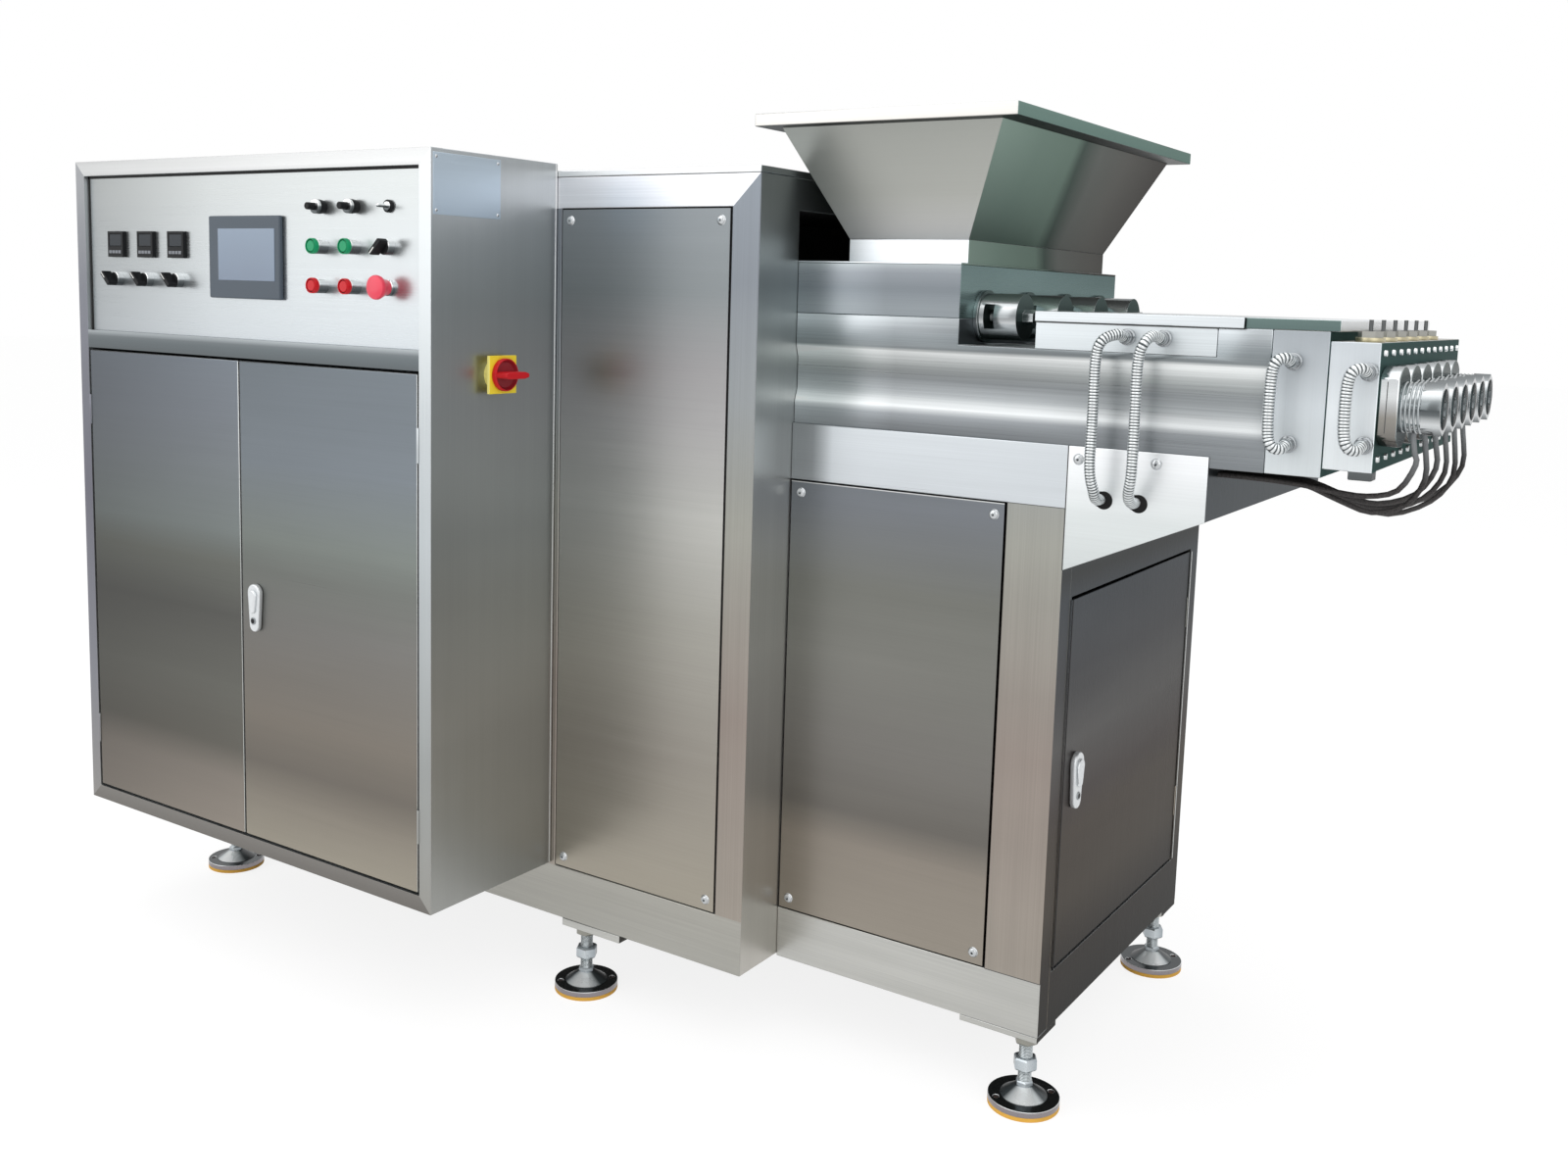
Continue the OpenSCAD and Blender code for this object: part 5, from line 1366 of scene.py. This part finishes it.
dress("temperature_controllers", 2.5 * MM, black_plastic, segments=3)
controller_low, controller_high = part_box("temperature_controllers")
CONTROLLER = 50 * MM
CONTROLLER_PITCH = 96 * MM
controller_xs = [controller_low.x + CONTROLLER / 2 + i * CONTROLLER_PITCH for i in range(3)]
controller_mid = (controller_low.z + controller_high.z) / 2
DISPLAY_HALF = 19 * MM
KEY_COUNT = 4
KEY_PITCH = 10 * MM
KEY_WIDTH = 8 * MM
displays = []
keys = []
for x in controller_xs:
    y = controller_low.y
    displays.append(((x - DISPLAY_HALF, y + 0.5 * MM, controller_mid - 3 * MM),
                     (x + DISPLAY_HALF, y + 1.5 * MM, controller_mid + 19 * MM)))
    for k in range(KEY_COUNT):
        left = x - DISPLAY_HALF + k * KEY_PITCH
        keys.append(((left, y - 1.2 * MM, controller_mid - 18 * MM),
                     (left + KEY_WIDTH, y + MM, controller_mid - 12 * MM)))
boxes("controller_displays", displays, 0.3 * MM, dark_glass, "machine")
boxes("controller_keys", keys, 0.6 * MM, key_plastic, "machine")
print("screen and controllers dressed, keys:", len(keys))

# %% [markdown]
# Every push button and selector sits in a turned chrome barrel that is screwed to the panel. The
# selectors end in a black wing with a pale line, and the emergency stop in a thick red mushroom head.
# Turned parts are spun from profiles of radius and height, in millimetres, and the wings are outlines that
# stand out of the panel. Each cap rides on its own body, so that it moves when it is pushed.

# %% Buttons and selectors
BARREL = [(0, 0), (13.2, 0), (13.2, 20), (12.6, 20.8), (0, 20.8)]
CAP_RIM = [(0, 20.6), (13, 20.6), (13.6, 21.4), (13.6, 28.2), (13, 29.6), (12.3, 30), (11.6, 29.4),
           (11.4, 26.6), (0, 26.6)]
CAP_GROOVE = [(0, 26.5), (11.5, 26.5), (11.5, 26.9), (0, 26.9)]
CAP_DISC = [(0, 26), (9.8, 26), (9.8, 28.4), (9.0, 29.2), (0, 29.4)]
SHORT_BARREL = [(0, 0), (13.6, 0), (13.6, 13), (12.8, 14), (0, 14)]
STOP_RING = [(0, 0), (14, 0), (14, 6), (13, 7), (0, 7)]
STOP_HEAD = [(0, 6.4), (12.6, 6.4), (13.4, 11), (15.4, 17), (18.2, 22.5), (20, 26), (20.6, 28),
             (20.6, 31.6), (19.6, 33.6), (15.5, 35.2), (9, 36), (0, 36)]
COLLAR = [(0, 13), (11.6, 13), (11.6, 15.2), (10.8, 16), (0, 16)]
KNOB_BASE = [(0, 0), (11, 0), (12.4, 8), (12.4, 14.5), (0, 14.5)]
KNOB_DIAL = [(0, 14.4), (12.2, 14.4), (12.2, 20), (11.2, 21), (0, 21)]
KNOB_GRIP = [(0, 20.9), (6.6, 20.9), (6.2, 36), (5.2, 37), (0, 37)]
SHAFT_RING = [(0, 0), (10.8, 0), (10.8, 4.6), (9.8, 5.6), (8.8, 5), (8.6, 3), (0, 3)]
SHAFT_NUT = [(0, 2.8), (7.8, 2.8), (7.8, 6), (7, 7), (0, 7)]
SHAFT = [(0, 6.8), (3, 6.8), (3, 26), (2.2, 27), (0, 27)]
SELECTOR_Z = 1326
SELECTOR_SHIFT = 3 * MM
GRID_X = (729.4, 812.4, 895.4)
GRID_Z = (1460, 1392, 1324)


def on_panel(x, z):
    """A place on the panel, from the machine's millimetres."""
    place = row_frame([(x, 0, z)])[0]
    return Vector((place.x, panel_y, place.z))


selector_places = [Vector((x + SELECTOR_SHIFT, panel_y, SELECTOR_Z * MM)) for x in controller_xs]
selector_places.append(on_panel(GRID_X[2], GRID_Z[1]))
button_places = {
    "start_button_1": on_panel(GRID_X[0], GRID_Z[1]), "start_button_2": on_panel(GRID_X[1], GRID_Z[1]),
    "stop_button_1": on_panel(GRID_X[0], GRID_Z[2]), "stop_button_2": on_panel(GRID_X[1], GRID_Z[2]),
}
stop_place = on_panel(GRID_X[2], GRID_Z[2])
turned = [(sized(BARREL), place, OUT, 0) for place in button_places.values()]
turned += [(sized(SHORT_BARREL), place, OUT, 0) for place in selector_places]
turned += [(sized(STOP_RING), stop_place, OUT, 0)]
lathes("chrome_barrels", turned, [bezel_chrome], "machine", ["control_bezels"])
for node, place in button_places.items():
    colour = green_plastic if node.startswith("start") else red_plastic
    # The disc in each cap's groove is painted shade.
    lathes("cap_" + node, [(sized(CAP_RIM), place, OUT, 0), (sized(CAP_GROOVE), place, OUT, 1),
           (sized(CAP_DISC), place, OUT, 0)], [colour, seam_dark], BODY[node], [node])
lathes("mushroom_head", [(sized(STOP_HEAD), stop_place, OUT, 0)], [stop_red], BODY["emergency_stop"],
       ["emergency_stop"])
knobs = []
for x in GRID_X[:2]:
    for profile, index in ((KNOB_BASE, 0), (KNOB_DIAL, 1), (KNOB_GRIP, 0)):
        knobs.append((sized(profile), on_panel(x, GRID_Z[0]), OUT, index))
for profile, index in ((SHAFT_RING, 0), (SHAFT_NUT, 1), (SHAFT, 1)):
    knobs.append((sized(profile), on_panel(GRID_X[2], GRID_Z[0]), OUT, index))
lathes("dial_knobs", knobs, [black_plastic, bezel_chrome], "machine", ["speed_knobs"])

WING = [(-17, -3), (-15.5, -4.5), (14, -4.5), (16, -3), (16, 3), (14, 4.5), (-15.5, 4.5), (-17, 3)]
WING_LINE = [(-16, -0.9), (-2, -0.9), (-2, 0.9), (-16, 0.9)]
WING_TURNS = [math.radians(angle) for angle in (-45, -45, -45, 45)]


def prisms(name, outline, near, far, radius, finish, replaced=()):
    """The same outline on each selector, standing out of the panel from near to far, in millimetres."""
    bm = bmesh.new()
    for place, turn in zip(selector_places, WING_TURNS):
        across = Vector((math.cos(turn), 0, math.sin(turn)))
        upright = Vector((-math.sin(turn), 0, math.cos(turn)))
        flat = [place + (u * across + v * upright) * MM for u, v in outline]
        extrude_into(bm, *[[corner - Vector((0, out * MM, 0)) for corner in flat] for out in (near, far)])
    rounded(bm, radius)
    return solid_piece(name, bm, [finish], "machine", replaced)


prisms("selector_wings", WING, 15, 34, 1.2 * MM, black_plastic, ["selector_knobs"])
prisms("selector_lines", WING_LINE, 33.5, 34.3, 0.0, white_mark)
collars = [(sized(COLLAR), place, OUT, 0) for place in selector_places]
lathes("selector_collars", collars, [black_plastic], "machine")
print("buttons and selectors:", len(button_places) + 1, len(selector_places))

# %% [markdown]
# ## Locks, isolator and rating plate
#
# The doors have cast cam locks with a key slot. The isolator is a red turning handle on a yellow plate.
# A thin rating plate sits above it and stays bare. A lock could be carved from a block, but a casting is
# mostly outlines with soft edges, so it is two rounded outlines on top of each other.

# %% Locks and isolator
KEY_RING = [(0, 0), (7, 0), (7, 2.2), (5.5, 2.6), (0, 2.6)]
KEY_HOLE = [(0, 2.4), (4.6, 2.4), (4.6, 2.9), (0, 2.9)]


def capsule(width, height, foot):
    """An outline that is round at the top and narrower, also round, at the foot."""
    points = []
    for k in range(13):
        angle = math.pi * k / 12
        points.append((width / 2 * math.cos(angle), height / 2 - width / 2 + width / 2 * math.sin(angle)))
    for k in range(13):
        angle = math.pi + math.pi * k / 12
        points.append((foot * math.cos(angle), -height / 2 + foot + foot * math.sin(angle)))
    return points


def lock(node, out, across):
    """A cast cam lock on a door: a domed capsule, a raised tongue and a round key barrel."""
    low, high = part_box(node)
    middle = (low + high) / 2
    depth = abs((high - low).dot(out))
    back_face = middle - out * depth / 2
    width = abs((high - low).dot(across))
    height = high.z - low.z
    bm = bmesh.new()
    layers = [(capsule(width, height, 0.36 * width), 0.0, 0.62),
              (capsule(0.62 * width, 0.5 * height, 0.2 * width), 0.55, 0.9)]
    for outline, near, far in layers:
        lift = 0.14 * height if near > 0 else 0.0
        flat = [back_face + across * u + Vector((0, 0, v + lift)) for u, v in outline]
        extrude_into(bm, *[[corner + out * depth * share for corner in flat] for share in (near, far)])
    rounded(bm, 0.09 * width, 3)
    solid_piece("cast_" + node, bm, [lock_metal], BODY[node], [node])
    key_place = back_face + out * depth * 0.55 - Vector((0, 0, 0.27 * height))
    turned = [(sized(KEY_RING), key_place, out, 0), (sized(KEY_HOLE), key_place, out, 1)]
    lathes("key_" + node, turned, [chrome, black_plastic], BODY[node])


lock("right_door_handle", Vector((0, -1, 0)), Vector((1, 0, 0)))
lock("side_door_handle", Vector((1, 0, 0)), Vector((0, 1, 0)))

# The front and back of the isolator base take the lighter yellow, painted light.
dress("isolator_base", BLOCK_EDGE, yellow_edge, yellow_plastic)
handle_low, handle_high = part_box("isolator_handle")
turn_middle = (handle_low + handle_high) / 2
turn_middle.x = handle_low.x
HANDLE_DISC = [(0, 0), (28, 0), (28.5, 1), (28.5, 8), (27.5, 9.5), (26, 9.5)]
HANDLE_DISH = [(26, 9.5), (24.5, 7.5), (22, 5), (0, 5)]
# The dish takes the darker red, painted shade in the hollow.
turned = [(sized(HANDLE_DISC), turn_middle, (1, 0, 0), 0), (sized(HANDLE_DISH), turn_middle, (1, 0, 0), 1)]
lathes("isolator_disc", turned, [red_plastic, dish_red], BODY["isolator_handle"],
       ["isolator_handle"])
BAR_LENGTH = handle_high.y - handle_low.y
BAR = [(-0.44, -3.5), (-0.3, -6.0), (0.3, -6.0), (0.46, -3.5), (0.46, 3.5), (0.3, 6.0), (-0.3, 6.0),
       (-0.44, 3.5)]
BAR_REACH = (4 * MM, handle_high.x - handle_low.x)
flat = [turn_middle + Vector((0, share * BAR_LENGTH, z * MM)) for share, z in BAR]
bm = bmesh.new()
extrude_into(bm, *[[corner + Vector((out, 0, 0)) for corner in flat] for out in BAR_REACH])
rounded(bm, 1.5 * MM)
solid_piece("isolator_bar", bm, [red_plastic], BODY["isolator_handle"])

cabinet_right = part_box("control_side_walls")[1].x
PLATE_CORNERS = ((0, -303, 1446), (0, -146, 1547))
plate_low, plate_high = row_frame(PLATE_CORNERS)
plate_low.x = cabinet_right
plate_high.x = cabinet_right + 1.2 * MM
boxes("rating_plate", [(plate_low, plate_high)], 0.5 * MM, plate_metal, "machine")
PLATE_INSET = 7 * MM
plate_corners = [Vector((plate_high.x, y, z)) for y in (plate_low.y + PLATE_INSET, plate_high.y - PLATE_INSET)
                 for z in (plate_low.z + PLATE_INSET, plate_high.z - PLATE_INSET)]
screws("rating_plate_screws", plate_corners, (1, 0, 0), 3 * MM, 0.8 * MM)
print("locks and isolator dressed")

# %% [markdown]
# ## Panel screws and die bolts
#
# Dome screws hold the two front panels, the bracket plate and the sheets at the back. A row of bolts above
# and below the nozzles clamps the die plates together. They could be copied by hand, but a tree that puts a
# head on every point keeps them alike, and a change of size changes them all.

# %% Screws
SCREW_INSET = 22 * MM


def corners_of(low, high, y):
    """Four places in the plane y of a sheet, in from its corners."""
    xs = (low[0] + SCREW_INSET, high[0] - SCREW_INSET)
    zs = (low[2] + SCREW_INSET, high[2] - SCREW_INSET)
    return [Vector((x, y, z)) for x in xs for z in zs]


PLATE_SCREWS = ((1974, BASE_FRONT, 1092), (2097, BASE_FRONT, 1095))
screws("bracket_screws", row_frame(PLATE_SCREWS), OUT)
screws("drive_panel_screws", corners_of(drive_panel_low, drive_panel_high, drive_panel_low.y), OUT)
screws("base_panel_screws", corners_of(base_panel_low, base_panel_high, base_panel_low.y), OUT)
BOLT_COUNT = 12
BOLT_FIRST = 24 * MM
BOLT_PITCH = 55.6 * MM
BOLT_RISE = 74 * MM
bolt_places = []
for i in range(BOLT_COUNT):
    y = die_low.y + BOLT_FIRST + i * BOLT_PITCH
    bolt_places += [Vector((die_high.x, y, nozzle_z + rise)) for rise in (BOLT_RISE, -BOLT_RISE)]
REAR_INSET = 60 * MM
REAR_THICK = 1.5 * MM
rear_low, rear_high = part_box("base_back_wall")
walls = [(housing_low, housing_high), (rear_low, rear_high)]
rear_sheets = [((low.x + REAR_INSET, high.y, low.z + REAR_INSET),
                (high.x - REAR_INSET, high.y + REAR_THICK, high.z - REAR_INSET)) for low, high in walls]
boxes("rear_sheets", rear_sheets, 0.6 * MM, front_steel, "machine")
rear_corners = [place for low, high in rear_sheets for place in corners_of(low, high, high[1])]
screws("rear_screws", rear_corners, (0, 1, 0))
screws("die_bolts", bolt_places, (1, 0, 0), 5 * MM, 3.5 * MM, 0.5, 0.05, bright_head)
print("rear screws and die bolts:", len(rear_corners), len(bolt_places))

# %% [markdown]
# ## Studio
#
# A white floor and a white surround, as in a catalogue picture, with three large soft lights. More light
# would make the floor white too, but it would bleach the steel. So the floor and the surround are white
# to the camera and in mirrors alone, and the floor keeps a faint shadow under the machine.

# %% Studio
DIM_WORLD = 0.62
FLOOR_GLOW = 0.75
FLOOR = 30.0


def seen_share(graph, low, high):
    """high for camera, glossy and transmission rays, and low for the others."""
    rays = graph.node("ShaderNodeLightPath", output=None)
    names = ("Is Camera Ray", "Is Glossy Ray", "Is Transmission Ray")
    camera_ray, glossy, through = (Value(graph, rays.outputs[name]) for name in names)
    limits = {"To Min": low, "To Max": high}
    return graph.node("ShaderNodeMapRange", {}, {"Value": camera_ray + glossy + through, **limits})


world = bpy.data.worlds.new("studio")
scene.world = world
world.use_nodes = True
sky = Graph(world.node_tree)
white = (1.0, 1.0, 1.0, 1.0)
sky.feed(world.node_tree.nodes["Background"], {"Color": white, "Strength": seen_share(sky, DIM_WORLD, 1.0)})

floor_mesh = bpy.data.meshes.new("floor")
floor_corners = [(-FLOOR, -FLOOR, 0), (FLOOR, -FLOOR, 0), (FLOOR, FLOOR, 0), (-FLOOR, FLOOR, 0)]
floor_mesh.from_pydata(floor_corners, [], [(0, 1, 2, 3)])
floor = bpy.data.objects.new("floor", floor_mesh)
scene.collection.objects.link(floor)
ground = Finish("floor_white")
ground.set(Base_Color=(0.93, 0.93, 0.93, 1.0), Roughness=0.9)
glow = ground.node("ShaderNodeEmission", {}, {"Strength": 1.12})
matte = Value(ground, ground.shader.outputs[0])
both = ground.node("ShaderNodeMixShader", {}, {0: seen_share(ground, 0.0, FLOOR_GLOW), 1: matte, 2: glow})
ground.feed(ground.tree.nodes["Material Output"], {"Surface": both})
floor_mesh.materials.append(ground.material)


def soft_light(name, place, target, size, power):
    """A square light at place that looks at target."""
    data = bpy.data.lights.new(name, "AREA")
    data.size = size
    data.energy = power
    light = bpy.data.objects.new(name, data)
    light.location = place
    light.rotation_euler = (Vector(target) - Vector(place)).to_track_quat("-Z", "Y").to_euler()
    scene.collection.objects.link(light)


soft_light("overhead", (0.3, -0.6, 4.6), (0.2, 0.0, 1.0), 5.5, 90)
soft_light("front_left", (-2.6, -4.2, 3.0), (0.0, 0.0, 0.9), 4.5, 70)
soft_light("front_right", (3.8, -3.4, 2.6), (0.2, 0.0, 0.9), 4.0, 48)
print("studio ready")
